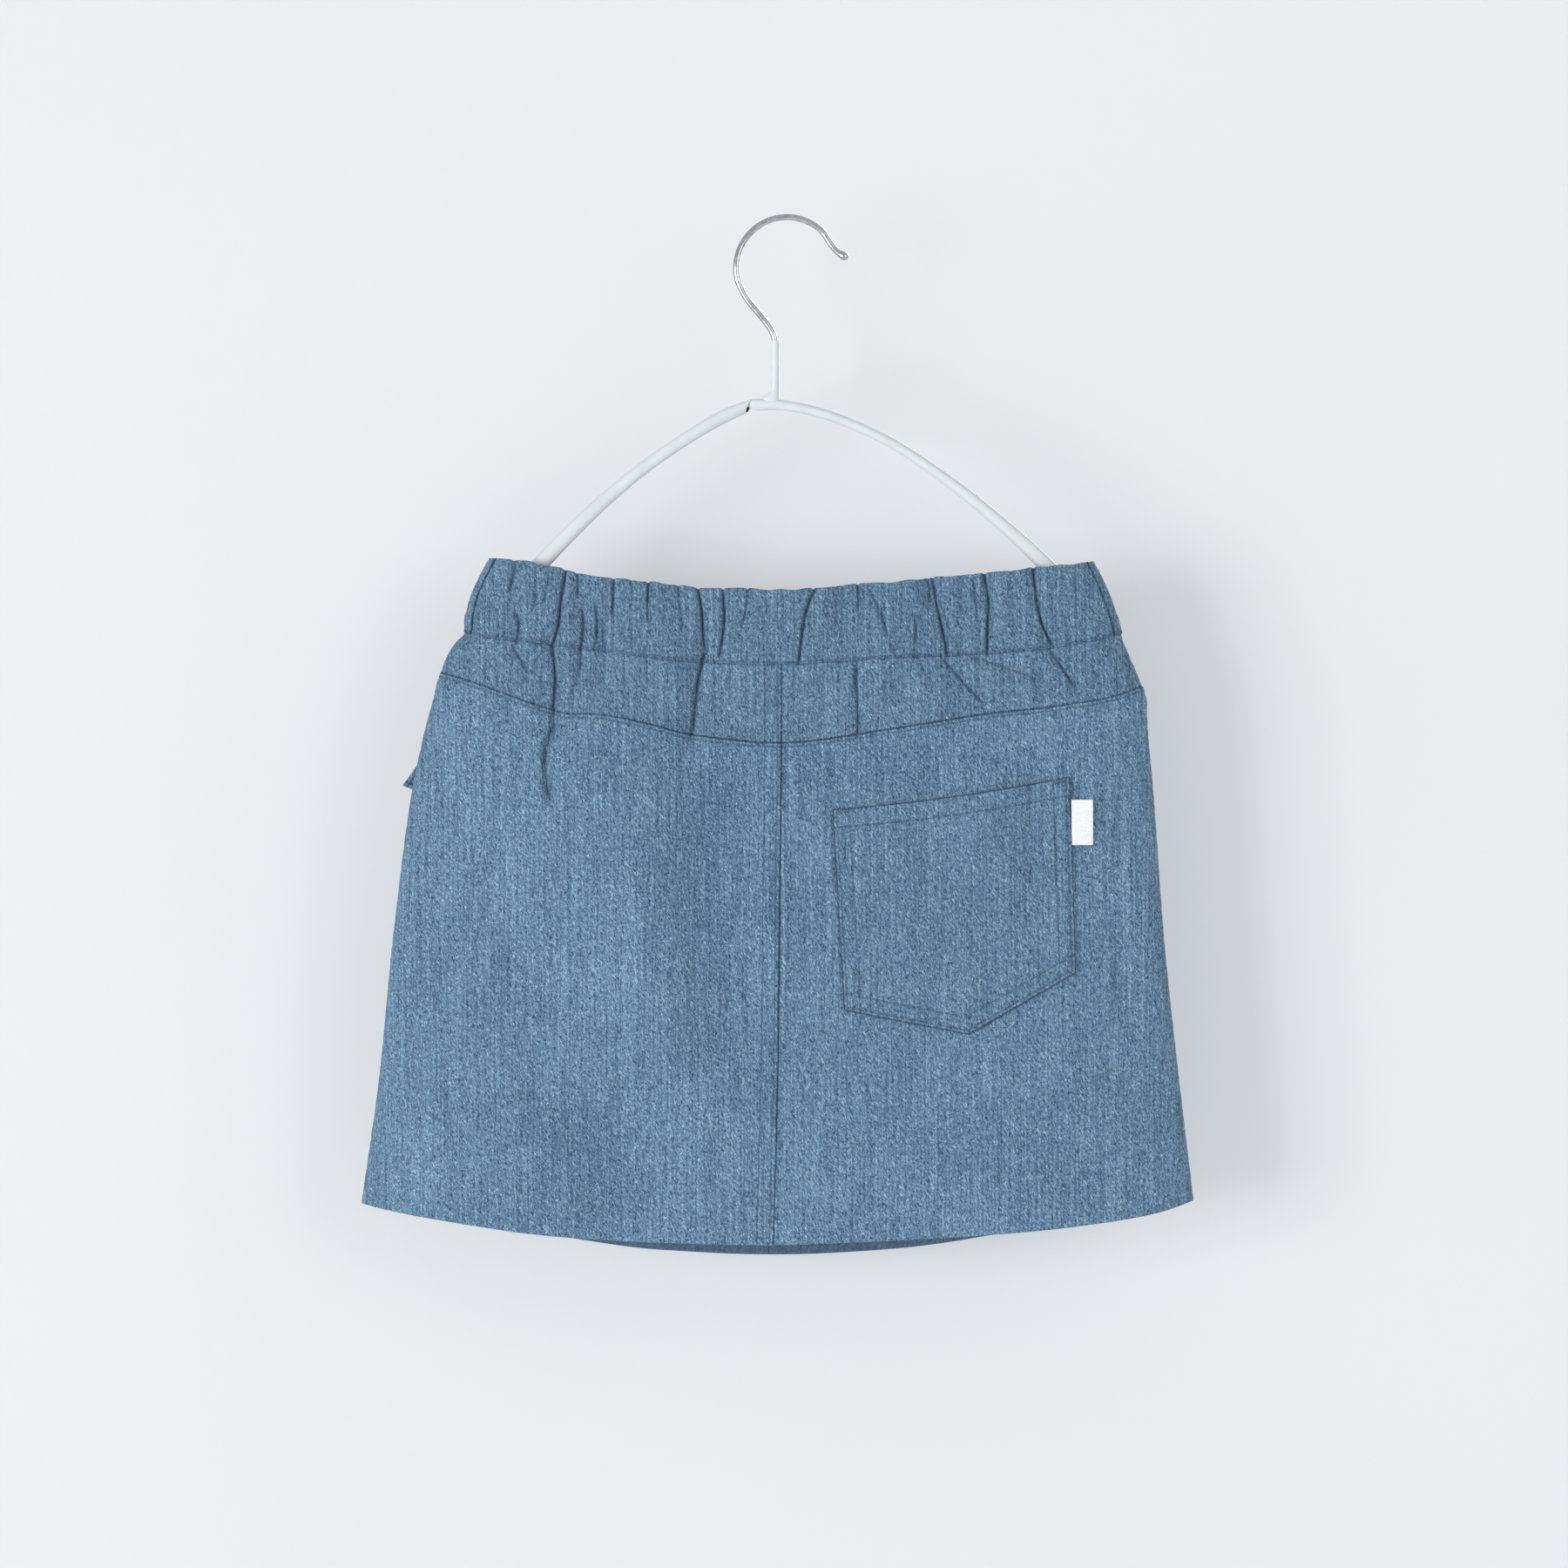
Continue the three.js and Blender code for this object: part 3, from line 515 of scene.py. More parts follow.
def folded(folds, x, drop):
    """How far the folds move the cloth out, and how dark the shade painted in the creases is, from
    0 to 1.
    """
    out, crease = np.zeros_like(x), np.zeros_like(x)
    for i in range(len(folds["x"])):
        f = {name: column[i] for name, column in folds.items()}
        ends = np.maximum(f["drop"] - drop, drop - f["to_drop"])
        share = np.clip((drop - f["drop"]) / (f["to_drop"] - f["drop"]), -0.3, 1.3)
        inside = np.clip(share, 0, 1)
        wander = FOLD_WANDER * np.sin(drop / 5.1 + 2.3 * i) + 4 * f["bow"] * inside * (1 - inside)
        away = (x - wander - f["x"] - (f["to_x"] - f["x"]) * share) / f["wide"]
        narrow, broad = np.exp(-((away / CREASE) ** 2)), np.exp(-((away / FOLD_SPREAD) ** 2))
        soft_end = max(0, f["wide"] - NARROW_FOLD)
        held = fade(ends, -soft_end, FOLD_END + 2 * soft_end)
        pinched = fade(ends, -CREASE_END / 2, CREASE_END)
        lean = LAPPED * (-1) ** i * away * broad
        soft = 1 - f["sharp"] * CREASE_SHARE
        out -= f["deep"] * held * (soft * broad + f["sharp"] * lean)
        out -= f["deep"] * pinched * f["sharp"] * CREASE_EXTRA * narrow
        # How dark the painted shade in the creases of this fold gets.
        dark = f["sharp"] * np.clip(f["deep"] / FULL_CREASE_SHADE, 0, 1)
        crease = np.maximum(crease, pinched * narrow * dark)
    return out, crease


def wash(side, x, drop):
    """Painted light and shade of the broad folds, the other way round on the front."""
    strength = np.where(side < 0, 1, FRONT_FOLD_LIGHT_SHADE)
    x, light = np.where(side < 0, x, -x), np.zeros_like(x)
    for i in range(len(FOLD_LIGHT_SHADE["x"])):
        w = {name: column[i] for name, column in FOLD_LIGHT_SHADE.items()}
        away = ((x - w["x"]) / w["wide"]) ** 2 + ((drop - w["drop"]) / w["high"]) ** 2
        light += strength * w["light"] * np.exp(-away)
    return light


def waves(side, x, drop):
    w = WAVES
    turns = w["per_x"] * x[..., None] + w["per_drop"] * drop[..., None] + side[..., None] * 0.13
    return (w["high"] * np.sin(2 * math.pi * turns + w["turn"])).sum(-1)


def relief(side, across, x, drop):
    """Folds, puffs and waves of the cloth: how far out, and the shade painted in the creases."""
    back_out, back_crease_shade = folded(BACK_FOLDS, x, drop)
    front_out, front_crease_shade = folded(FRONT_FOLDS, x, drop)
    back = side < 0
    puff = BAND_PUFF * fade(drop, edge_at("band", across), PUFF_END)
    calm = fade(np.abs(across), CALM_FROM, CALM_REACH)
    out = np.where(back, back_out, front_out) + puff + waves(side, x, drop)
    return out * calm, np.where(back, back_crease_shade, front_crease_shade) * calm


def ring_place(ring):
    """Round the skirt seen from above: -1 to 1 is the back from left to right, 1 to 3 the front."""
    turned = (ring + 1) % 4 - 1
    back = turned <= 1
    share = np.where(back, turned, 2 - turned)
    rest = 1 - np.abs(share)
    inset = np.where(rest < END_BUNCH, rest * rest / (2 * END_BUNCH), rest - END_BUNCH / 2)
    across = np.sign(share) * (1 - inset / (1 - END_BUNCH / 2))
    return np.where(back, -1.0, 1.0), across


def ring_rate(ring, drop):
    """Millimetres of cloth for each unit of the ring."""
    step = 1e-3
    ends = [body_point(*ring_place(np.full_like(drop, ring + s)), drop) for s in (-step, step)]
    return np.linalg.norm(ends[1] - ends[0], axis=-1) / (2 * step)


# ---- Walls of cloth ----

# The lines of a grid beside an edge, where the wall rounds over.
EDGE_STEPS = np.array([0, 0.04, 0.15, 0.4, 0.9, 1.7, 2.8])


def steps_between(length, count):
    """Places from one edge to the other of lengths: close together at both edges, even between."""
    length = np.asarray(length, float)[..., None]
    even = np.linspace(0, 1, count + 2)[1:-1]
    first, last = EDGE_STEPS, length - EDGE_STEPS[::-1]
    middle = EDGE_STEPS[-1] + (length - 2 * EDGE_STEPS[-1]) * even
    first = np.broadcast_to(first, (*length.shape[:-1], len(first)))
    return np.concatenate([first, middle, last], -1)


def distance(points, axis):
    """Distances along the rows (axis 1) or columns (axis 0) of a grid, from its first line."""
    steps = np.linalg.norm(np.diff(points, axis=axis), axis=-1)
    start = np.zeros_like(steps.take([0], axis))
    return np.concatenate([start, np.cumsum(steps, axis)], axis)


def rounded(to, joined):
    """The share of the wall's thickness at each place, rounding off toward each edge.

    joined: how thick the wall still is at the edges that are sewn to a neighbour.
    """
    left = np.ones_like(to["top"])
    for edge, distance_in in to.items():
        share = np.clip(distance_in / EDGE_ROUND, 0, 1)
        least = joined.get(edge, TURNED_EDGE)
        left = np.minimum(left, least + (1 - least) * np.sqrt(1 - (1 - share) ** 2))
    return left


def seam_relief(to_edge, run, lap, salt):
    """Layers pressed to one side of a seam, and the pucker that its stitches draw up."""
    bumps = np.sin(run / 1.13 + 1.7 * np.sin(run / 2.9 + salt) + salt)
    bumps *= 0.6 + 0.4 * np.sin(run / 7.3 + 2 * salt)
    pucker = PUCKER_HIGH * bumps * np.exp(-to_edge / PUCKER_REACH)
    return lap * LAP_HIGH * fade(to_edge, LAP_WIDE - LAP_STEP / 2, LAP_STEP) + pucker


def toward_edges(middle):
    """How far each place of a grid lies from each of its edges."""
    from_top, from_left = distance(middle, 0), distance(middle, 1)
    to = {
        "top": from_top,
        "bottom": from_top[-1:] - from_top,
        "left": from_left,
        "right": from_left[:, -1:] - from_left,
    }
    # Lines that meet an edge aslant are longer than the way to it.
    rims = {"top": middle[0], "bottom": middle[-1], "left": middle[:, 0], "right": middle[:, -1]}
    for edge, rim in rims.items():
        runs_across = edge in ("top", "bottom")
        near = 3 if edge in ("top", "left") else -4
        off_rim = np.gradient(middle, axis=0 if runs_across else 1)
        off_rim = off_rim[near] if runs_across else off_rim[:, near]
        ahead = np.gradient(rim, axis=0)
        square = np.linalg.norm(np.cross(ahead, off_rim), axis=-1)
        square /= np.linalg.norm(ahead, axis=-1) * np.linalg.norm(off_rim, axis=-1)
        to[edge] = to[edge] * (square[None, :] if runs_across else square[:, None])
    return to


def cloth(name, middle, normal, looks, wall, laps, joined):
    """A closed wall with turned edges, from a grid of its outer places.

    middle: outer points before the seams' own relief. looks: what the finish needs at each place.
    laps: for each edge, 1 where layers are pressed to its side, 0 where they aren't, None where
    there is no seam.
    """
    to = toward_edges(middle)
    out, down, across = np.zeros(middle.shape[:2]), distance(middle, 0), distance(middle, 1)
    for salt, (edge, lap) in enumerate(laps.items()):
        if lap is not None:
            run = across if edge in ("top", "bottom") else down
            out += seam_relief(to[edge], run, lap, salt + len(name))
    half = wall / 2 * rounded(to, joined)
    centre = middle + normal * (out - wall / 2)[..., None]
    outer, inner = centre + normal * half[..., None], centre - normal * half[..., None]
    piece = shell(name, outer, inner)
    attributes = {**looks, **{f"to_{edge}": d for edge, d in to.items()}}
    for key, values in attributes.items():
        layer = piece.data.attributes.new(key, "FLOAT", "POINT")
        both = np.concatenate([values.ravel(), values.ravel()])
        layer.data.foreach_set("value", both.astype(np.float32))
    return {"object": piece, "outer": outer, "normal": normal, "to": to}


def shell(name, outer, inner):
    """A closed mesh: an outer and an inner grid, and the rim between them."""
    rows, columns = outer.shape[:2]
    front = np.arange(rows * columns).reshape(rows, columns)
    back = front + rows * columns
    sheets, rims = [], []
    for grid in (front, back):
        corners = (grid[:-1, :-1], grid[1:, :-1], grid[1:, 1:], grid[:-1, 1:])
        sheets.append(np.stack(corners, -1).reshape(-1, 4))
    for line in (np.s_[0], np.s_[:, -1], np.s_[-1, ::-1], np.s_[::-1, 0]):
        a, b = front[line], back[line]
        rims.append(np.stack([a[:-1], a[1:], b[1:], b[:-1]], -1))
    points = np.concatenate([outer.reshape(-1, 3), inner.reshape(-1, 3)])
    faces = np.concatenate([sheets[0], sheets[1][:, ::-1], *rims])
    return mesh_object(name, points, faces.tolist())


def mesh_object(name, points, faces):
    """A smooth piece from points in millimetres and its faces."""
    mesh = bpy.data.meshes.new(name)
    mesh.from_pydata((points * MM).tolist(), [], faces)
    mesh.polygons.foreach_set("use_smooth", [True] * len(mesh.polygons))
    piece = bpy.data.objects.new(name, mesh)
    bpy.context.collection.objects.link(piece)
    return piece


def waist_edge(side, across):
    """How far the gathers draw the waist's edge down at each place, uneven as they are."""
    drop = edge_at("waist", across)
    seam, half = width_at(side, across, drop)
    x = seam + across * half
    crease = relief(side, across, x, drop + GATHER_AT)[1]
    uneven = 0.3 * np.sin(x / 3.1 + 1.9 * np.sin(x / 9.7)) + 0.25 * np.sin(x / 7.3 + 1.1)
    calm = fade(np.abs(across), CALM_FROM, CALM_REACH)
    return WAIST_DRAWN + WAIST_CREASE * crease + uneven * calm


def skirt_piece(name, ring, edges, wall, grid, laps, joined, hemmed=False):
    """A cut piece from one place of the ring to another, between two edges."""
    columns, rows = grid
    count = columns + 2 * len(EDGE_STEPS)
    guide = np.linspace(ring[0], ring[1], count)
    for _ in range(2):  # the columns' places and the rows' drops depend a little on each other
        side, across = ring_place(guide)
        top = edge_at(edges[0], across)
        top = top + (waist_edge(side, across) if edges[0] == "waist" else SEAM_INSET)
        bottom = edge_at(edges[1], across) - (0 if hemmed else SEAM_INSET)
        drop = (top[:, None] + steps_between(bottom - top, rows)).T
        first = (SEAM_INSET + EDGE_STEPS) / ring_rate(ring[0], drop[:, 0])[:, None]
        last = (SEAM_INSET + EDGE_STEPS[::-1]) / ring_rate(ring[1], drop[:, -1])[:, None]
        even = np.linspace(0, 1, columns + 2)[1:-1]
        start, end = ring[0] + first[:, -1:], ring[1] - last[:, :1]
        places = np.concatenate([ring[0] + first, start + (end - start) * even, ring[1] - last], -1)
        guide = places.mean(0)
    side, across = ring_place(places)
    flat = body_point(side, across, drop)
    normal = outward(side, across, drop)
    out, crease = relief(side, across, flat[..., 0], drop)
    above = (bottom - drop) if hemmed else np.full_like(drop, NO_HEM)
    middle = flat + normal * out[..., None]
    looks = {
        "crease": crease,
        "wash": wash(side, flat[..., 0], drop),
        "turned": fade(above, HEM_TURN - TURNED_FADE / 2, TURNED_FADE),
    }
    wall = wall + (HEM_WALL - CLOTH_WALL) * fade(above, HEM_TURN, HEM_STEP)
    return cloth(name, middle, normal, looks, wall, laps, joined)


def lay_point(side, x, drop, straight_from=-1.0):
    """A place over the skirt's cloth and the way out. Past straight_from it runs straight on."""
    side = np.full_like(x, side)
    seam, _ = width_at(side, x, drop)
    _, half = width_at(side, x - seam, drop)
    across = (x - seam) / half
    held = np.clip(across, straight_from, 1)
    point, normal = body_point(side, held, drop), outward(side, held, drop)
    out, crease = relief(side, held, point[..., 0], drop)
    point = point + normal * out[..., None]
    point[..., 0] += (across - held) * half
    return point, normal, crease


def patch(name, side, shape, grid, layers, laps):
    """A patch with a straight top and a pointed bottom, sewn onto one side of the skirt.

    layers: how far off the cloth it lies and how thick it is, from the share of the way across
    and down it, and how far below its top a place is.
    """
    columns, rows = grid
    corners = [shape[key] for key in ("top_left", "top_right", "low_right", "point", "low_left")]
    top_left, top_right, low_right, point, low_left = np.array(corners, float)
    width = low_right[0] - low_left[0]
    even = steps_between(width, columns) / width
    tip = (point[0] - low_left[0]) / width
    even[np.abs(even - tip).argmin()] = tip
    top = top_left + np.outer(even, top_right - top_left)
    top[:, 1] += shape.get("sag", 0) * 4 * even * (1 - even)
    left = low_left + np.outer(even / tip, point - low_left)
    right = point + np.outer((even - tip) / (1 - tip), low_right - point)
    low = np.where(even[:, None] <= tip, left, right)
    length = low[:, 1] - top[:, 1]
    down = steps_between(length, rows) / length[:, None]
    place = (top[:, None] + down[..., None] * (low - top)[:, None]).transpose(1, 0, 2)
    x, drop = place[..., 0], place[..., 1]
    base, normal, crease = lay_point(side, x, drop, shape.get("straight_from", -1.0))
    under, wall = layers(even[None, :], down.T, drop - top[:, 1])
    middle = base + normal * np.asarray(under + wall)[..., None]
    # What is sewn on takes part of the painted shade of the creases under it.
    return cloth(name, middle, normal, {"crease": crease * PATCH_CREASE_SHADE}, wall, laps, {})


# ---- Stitches ----


def stitch_path(piece, edge, inset, trim=(0.0, 0.0)):
    """Points and outward directions on a piece, at a distance inside one of its edges.

    trim: how far the row stops short at each end.
    """
    outer, normal, to = piece["outer"], piece["normal"], piece["to"][edge]
    if edge in ("left", "right"):
        outer, normal, to = outer.transpose(1, 0, 2), normal.transpose(1, 0, 2), to.T
    if edge in ("bottom", "right"):
        outer, normal, to = outer[::-1], normal[::-1], to[::-1]
    points, ways = [], []
    for column in range(outer.shape[1]):
        row = np.searchsorted(to[:, column], inset)
        row = min(max(row, 1), len(to) - 1)
        low, high = to[row - 1, column], to[row, column]
        share = (inset - low) / (high - low)
        points.append(outer[row - 1, column] * (1 - share) + outer[row, column] * share)
        ways.append(normal[row, column])
    points, ways = np.array(points), np.array(ways)
    run = run_along(points)
    kept = (run >= trim[0]) & (run <= run[-1] - trim[1])
    return points[kept], ways[kept]


def run_along(points):
    return np.r_[0, np.cumsum(np.linalg.norm(np.diff(points, axis=0), axis=1))]


def bar_tack(pocket, inset, start, long):
    """A short dense row at a corner of the pocket's mouth. A start below 0 is from the far end."""
    path, ways = stitch_path(pocket, "top", inset)
    run = run_along(path)
    start = start + (run[-1] if start < 0 else 0)
    kept = (run >= start) & (run <= start + long)
    return path[kept], ways[kept]


def between(run, values, place):
    """The values at a place along a run."""
    return np.array([np.interp(place, run, values[:, k]) for k in range(3)])


def sew(name, paths, material, pitch=STITCH_PITCH, long=STITCH_LONG):
    """Rows of stitches as one piece. Each stitch is a short thread that dips in at both ends."""
    sides, rings = THREAD_SIDES, len(STITCH_THICK)
    turn = 2 * math.pi * np.arange(sides) / sides
    down_the_stitch = np.linspace(-0.5, 0.5, rings)
    ring_faces = [
        [r * sides + i, r * sides + j, (r + 1) * sides + j, (r + 1) * sides + i]
        for r in range(rings - 1)
        for i, j in zip(range(sides), [*range(1, sides), 0])
    ]
    points, quads, caps = [], [], []
    made = 0
    for path, ways in paths:
        run = run_along(path)
        for middle in np.arange(pitch / 2, run[-1] - pitch / 2, pitch):
            centre, up = between(run, path, middle), between(run, ways, middle)
            ahead = between(run, path, middle + long / 2) - between(run, path, middle - long / 2)
            ahead /= np.linalg.norm(ahead)
            up -= ahead * up.dot(ahead)
            up /= np.linalg.norm(up)
            cross = np.cross(ahead, up)
            round_it = np.outer(np.cos(turn), cross) + np.outer(np.sin(turn), up)
            for r in range(rings):
                hub = centre + ahead * down_the_stitch[r] * long + up * STITCH_HIGH[r] * THREAD
                points.append(hub + THREAD / 2 * STITCH_THICK[r] * round_it)
            base = made * rings * sides
            quads += [[base + i for i in face] for face in ring_faces]
            caps.append([base + i for i in reversed(range(sides))])
            caps.append([base + (rings - 1) * sides + i for i in range(sides)])
            made += 1
    piece = mesh_object(name, np.concatenate(points), quads + caps)
    piece.data.materials.append(material)
    # Where the thread dips in; its finish paints shade there.
    dip = np.repeat(np.abs(down_the_stitch * 2) > 0.9, sides).astype(np.float32)
    layer = piece.data.attributes.new("dip", "FLOAT", "POINT")
    layer.data.foreach_set("value", np.tile(dip, made))
    bpy.ops.object.select_all(action="DESELECT")
    piece.select_set(True)
    bpy.context.view_layer.objects.active = piece
    bpy.ops.object.mode_set(mode="EDIT")
    bpy.ops.mesh.select_all(action="SELECT")
    bpy.ops.mesh.normals_make_consistent(inside=False)
    bpy.ops.object.mode_set(mode="OBJECT")
    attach(piece, BODY)


# ---- Bars, drawn out by hand ----


def spot_at(x, drop):
    """A place in the plane of the hanger."""
    return Vector((x, 0, -drop)) * MM


class Bar:
    """A bar in the plane of the hanger, drawn out of a disc one ring after another.

    angle: the way the bar runs, in radians from +X up toward +Z. high and deep: its section.
    """

    def __init__(self, name, x, drop, angle, high, deep):
        bpy.ops.object.select_all(action="DESELECT")
        self.spot, self.angle, self.high, self.deep = spot_at(x, drop), 0.0, 1.0, 1.0
        bpy.ops.mesh.primitive_circle_add(
            vertices=BAR_SIDES,
            radius=MM / 2,
            fill_type="NGON",
            location=self.spot,
            rotation=(0, math.pi / 2, 0),
        )
        self.object = bpy.context.object
        self.object.name = name
        bpy.ops.object.mode_set(mode="EDIT")
        bpy.ops.mesh.select_all(action="SELECT")
        self.form(angle, high, deep)

    def turn(self, angle, axis="Y"):
        bpy.ops.transform.rotate(value=angle, orient_axis=axis, center_override=self.spot)

    def form(self, angle, high, deep):
        self.turn(-self.angle)
        grown = (1, deep / self.deep, high / self.high)
        bpy.ops.transform.resize(value=grown, center_override=self.spot)
        self.turn(angle)
        self.angle, self.high, self.deep = angle, high, deep

    def draw(self, x, drop, angle, high, deep):
        spot = spot_at(x, drop)
        bpy.ops.mesh.extrude_region_move(TRANSFORM_OT_translate={"value": spot - self.spot})
        self.spot = spot
        self.form(angle, high, deep)

    def along_rows(self, x, drop, high, deep, skip=1):
        """Draws the bar through rows of places, and turns each ring to the way the rows run."""
        for i in range(skip, len(x)):
            angle = heading(x, drop, i)
            self.draw(x[i], drop[i], angle, high[i], deep[i])

    def spin_round(self, centre, angle, steps):
        """Spins the end round a centre in the hanger's plane. Above 0 is from +X toward +Z."""
        bpy.ops.mesh.spin(steps=steps, angle=angle, center=centre, axis=(0, 1, 0))
        arm = self.spot - centre
        turn = Matrix.Rotation(-angle, 3, "Y")
        self.spot = centre + turn @ arm
        self.angle += angle

    def finish(self, node, slot, materials):
        bpy.ops.mesh.select_all(action="SELECT")
        bpy.ops.mesh.remove_doubles(threshold=1e-6)
        bpy.ops.mesh.normals_make_consistent(inside=False)
        bpy.ops.object.mode_set(mode="OBJECT")
        bpy.ops.object.transform_apply(location=True, rotation=True, scale=True)
        rounder = self.object.modifiers.new("round", "SUBSURF")
        rounder.levels = rounder.render_levels = 1
        bpy.ops.object.modifier_apply(modifier=rounder.name)
        bpy.ops.object.shade_smooth()
        for material in materials:
            self.object.data.materials.append(material)
        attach(self.object, BODY)
        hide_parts(node)
        return self.object


def heading(x, drop, i):
    """The way a run of places goes at one of them, in radians from +X up toward +Z."""
    before, after = max(i - 1, 0), min(i + 1, len(x) - 1)
    return math.atan2(drop[before] - drop[after], x[after] - x[before])


def round_end(x, drop, high, deep, at_start):
    """Rows that close a bar with a round end, from its last full ring outward."""
    i = 0 if at_start else len(x) - 1
    angle, sign = heading(x, drop, i), -1 if at_start else 1
    rows = []
    for share in ROUND_END_STEPS:
        reach, scale = sign * share * deep[i] / 2, math.sqrt(1 - share * share)
        end_x, end_drop = x[i] + reach * math.cos(angle), drop[i] - reach * math.sin(angle)
        rows.append((end_x, end_drop, high[i] * scale, deep[i] * scale))
    return rows[::-1] if at_start else rows


def arm_rows(first, last):
    """Evenly spaced rows of the arms between two places across."""
    count = max(2, round(abs(last - first) / ARM_STEP))
    x = np.linspace(first, last, count)
    return np.stack([x] + [along(ARMS, "x", column, x) for column in ("drop", "high", "deep")], -1)


def make_hook():
    x, drop, thick = HOOK_TIP["x"], HOOK_TIP["drop"], HOOK_TIP["thick"]
    bar = Bar("hook_wire", x[0], drop[0], heading(x, drop, 0), thick[0], thick[0])
    bar.along_rows(x, drop, thick, thick)
    start, end = math.radians(HOOK_TIP_ANGLE), math.radians(HOOK_BACK_ANGLE)
    centre = spot_at(0, HOOK_CENTRE_DROP)
    start_x = HOOK_RADIUS * math.cos(start)
    start_drop = HOOK_CENTRE_DROP - HOOK_RADIUS * math.sin(start)
    bar.draw(start_x, start_drop, start + math.pi / 2, WIRE, WIRE)
    bar.spin_round(centre, end - start, HOOK_STEPS)
    neck = HOOK_NECK
    bar.along_rows(neck["x"], neck["drop"], neck["thick"], neck["thick"], skip=0)
    bar.finish("hanger_hook", "chromed_wire", [chrome_finish()])


def make_tube(coating, steel):
    """The left arm. Its last ring is slanted, top ahead, and its wall turns in there."""
    rows = arm_rows(ARMS["x"][0], TUBE_MOUTH_X)
    rows = np.array(round_end(*rows.T, at_start=True) + rows.tolist())
    x, drop, high, deep = rows.T
    tube = Bar("left_arm_tube", x[0], drop[0], heading(x, drop, 3), high[0], deep[0])
    tube.along_rows(x, drop, high, deep)
    tube.turn(-MOUTH_SLANT)
    slanted = 1 / math.cos(MOUTH_SLANT)
    bpy.ops.transform.resize(value=(slanted, 1, slanted), center_override=tube.spot)
    tube.turn(MOUTH_TURN, "Z")
    rise, size = math.tan(tube.angle), 1.0
    for ahead, scale in MOUTH_RINGS:
        step = (ahead * MM, 0, ahead * MM * rise)
        bpy.ops.mesh.extrude_region_move(TRANSFORM_OT_translate={"value": step})
        bpy.ops.transform.resize(value=(scale / size,) * 3)
        size = scale
    left = tube.finish("hanger_arch", "white_coating", [coating, steel])
    # The bore's faces get the dark steel, painted darker as the shade inside the tube.
    for face in left.data.polygons:
        place = face.center / MM
        off_axis = Vector((0, place.y, place.z + float(along(ARMS, "x", "drop", place.x))))
        in_bore = face.normal.dot(off_axis) < BORE_FACING
        in_bore = in_bore or off_axis.length < BORE_MIDDLE * high[-1]
        if place.x > BORE_END_X and in_bore:
            face.material_index = 1


def make_rod(coating):
    """The right arm, whose thinner end goes into the tube."""
    rows = arm_rows(ROD_START_X, ARMS["x"][-1])
    thin_end = np.stack(list(ROD_END.values()), -1)
    rows = np.array(thin_end.tolist() + rows.tolist() + round_end(*rows.T, at_start=False))
    x, drop, high, deep = rows.T
    rod = Bar("right_arm_rod", x[0], drop[0], heading(x, drop, 1), high[0], deep[0])
    rod.along_rows(x, drop, high, deep)
    rod.finish("hanger_arch", "white_coating", [coating])


def make_stem(coating):
    x, drop, high, deep = STEM.values()
    stem = Bar("hanger_stem", x[0], drop[0], -math.pi / 2, high[0], deep[0])
    stem.along_rows(x, drop, high, deep)
    stem.finish("hanger_arch", "white_coating", [coating])


# ---- Shader maths ----


class Value:
    """A socket of a material's graph that takes part in arithmetic."""

    def __init__(self, graph, socket):
        self.graph, self.socket = graph, socket

    def math(self, operation, first, second=None):
        sockets = {0: first} if second is None else {0: first, 1: second}
        return self.graph.add("ShaderNodeMath", {"operation": operation}, sockets)

    def __add__(self, other):
        return self.math("ADD", self, other)

    def __sub__(self, other):
        return self.math("SUBTRACT", self, other)

    def __rsub__(self, other):
        return self.math("SUBTRACT", other, self)

    def __mul__(self, other):
        return self.math("MULTIPLY", self, other)

    def __truediv__(self, other):
        return self.math("DIVIDE", self, other)

    __radd__ = __add__

    def at_most(self, other):
        return self.math("MINIMUM", self, other)

    def at_least(self, other):
        return self.math("MAXIMUM", self, other)

    def near(self, place, reach):
        """1 at a place, falling to 0 on both sides within reach."""
        return 1 - (self.math("ABSOLUTE", self - place) / reach).at_most(1)


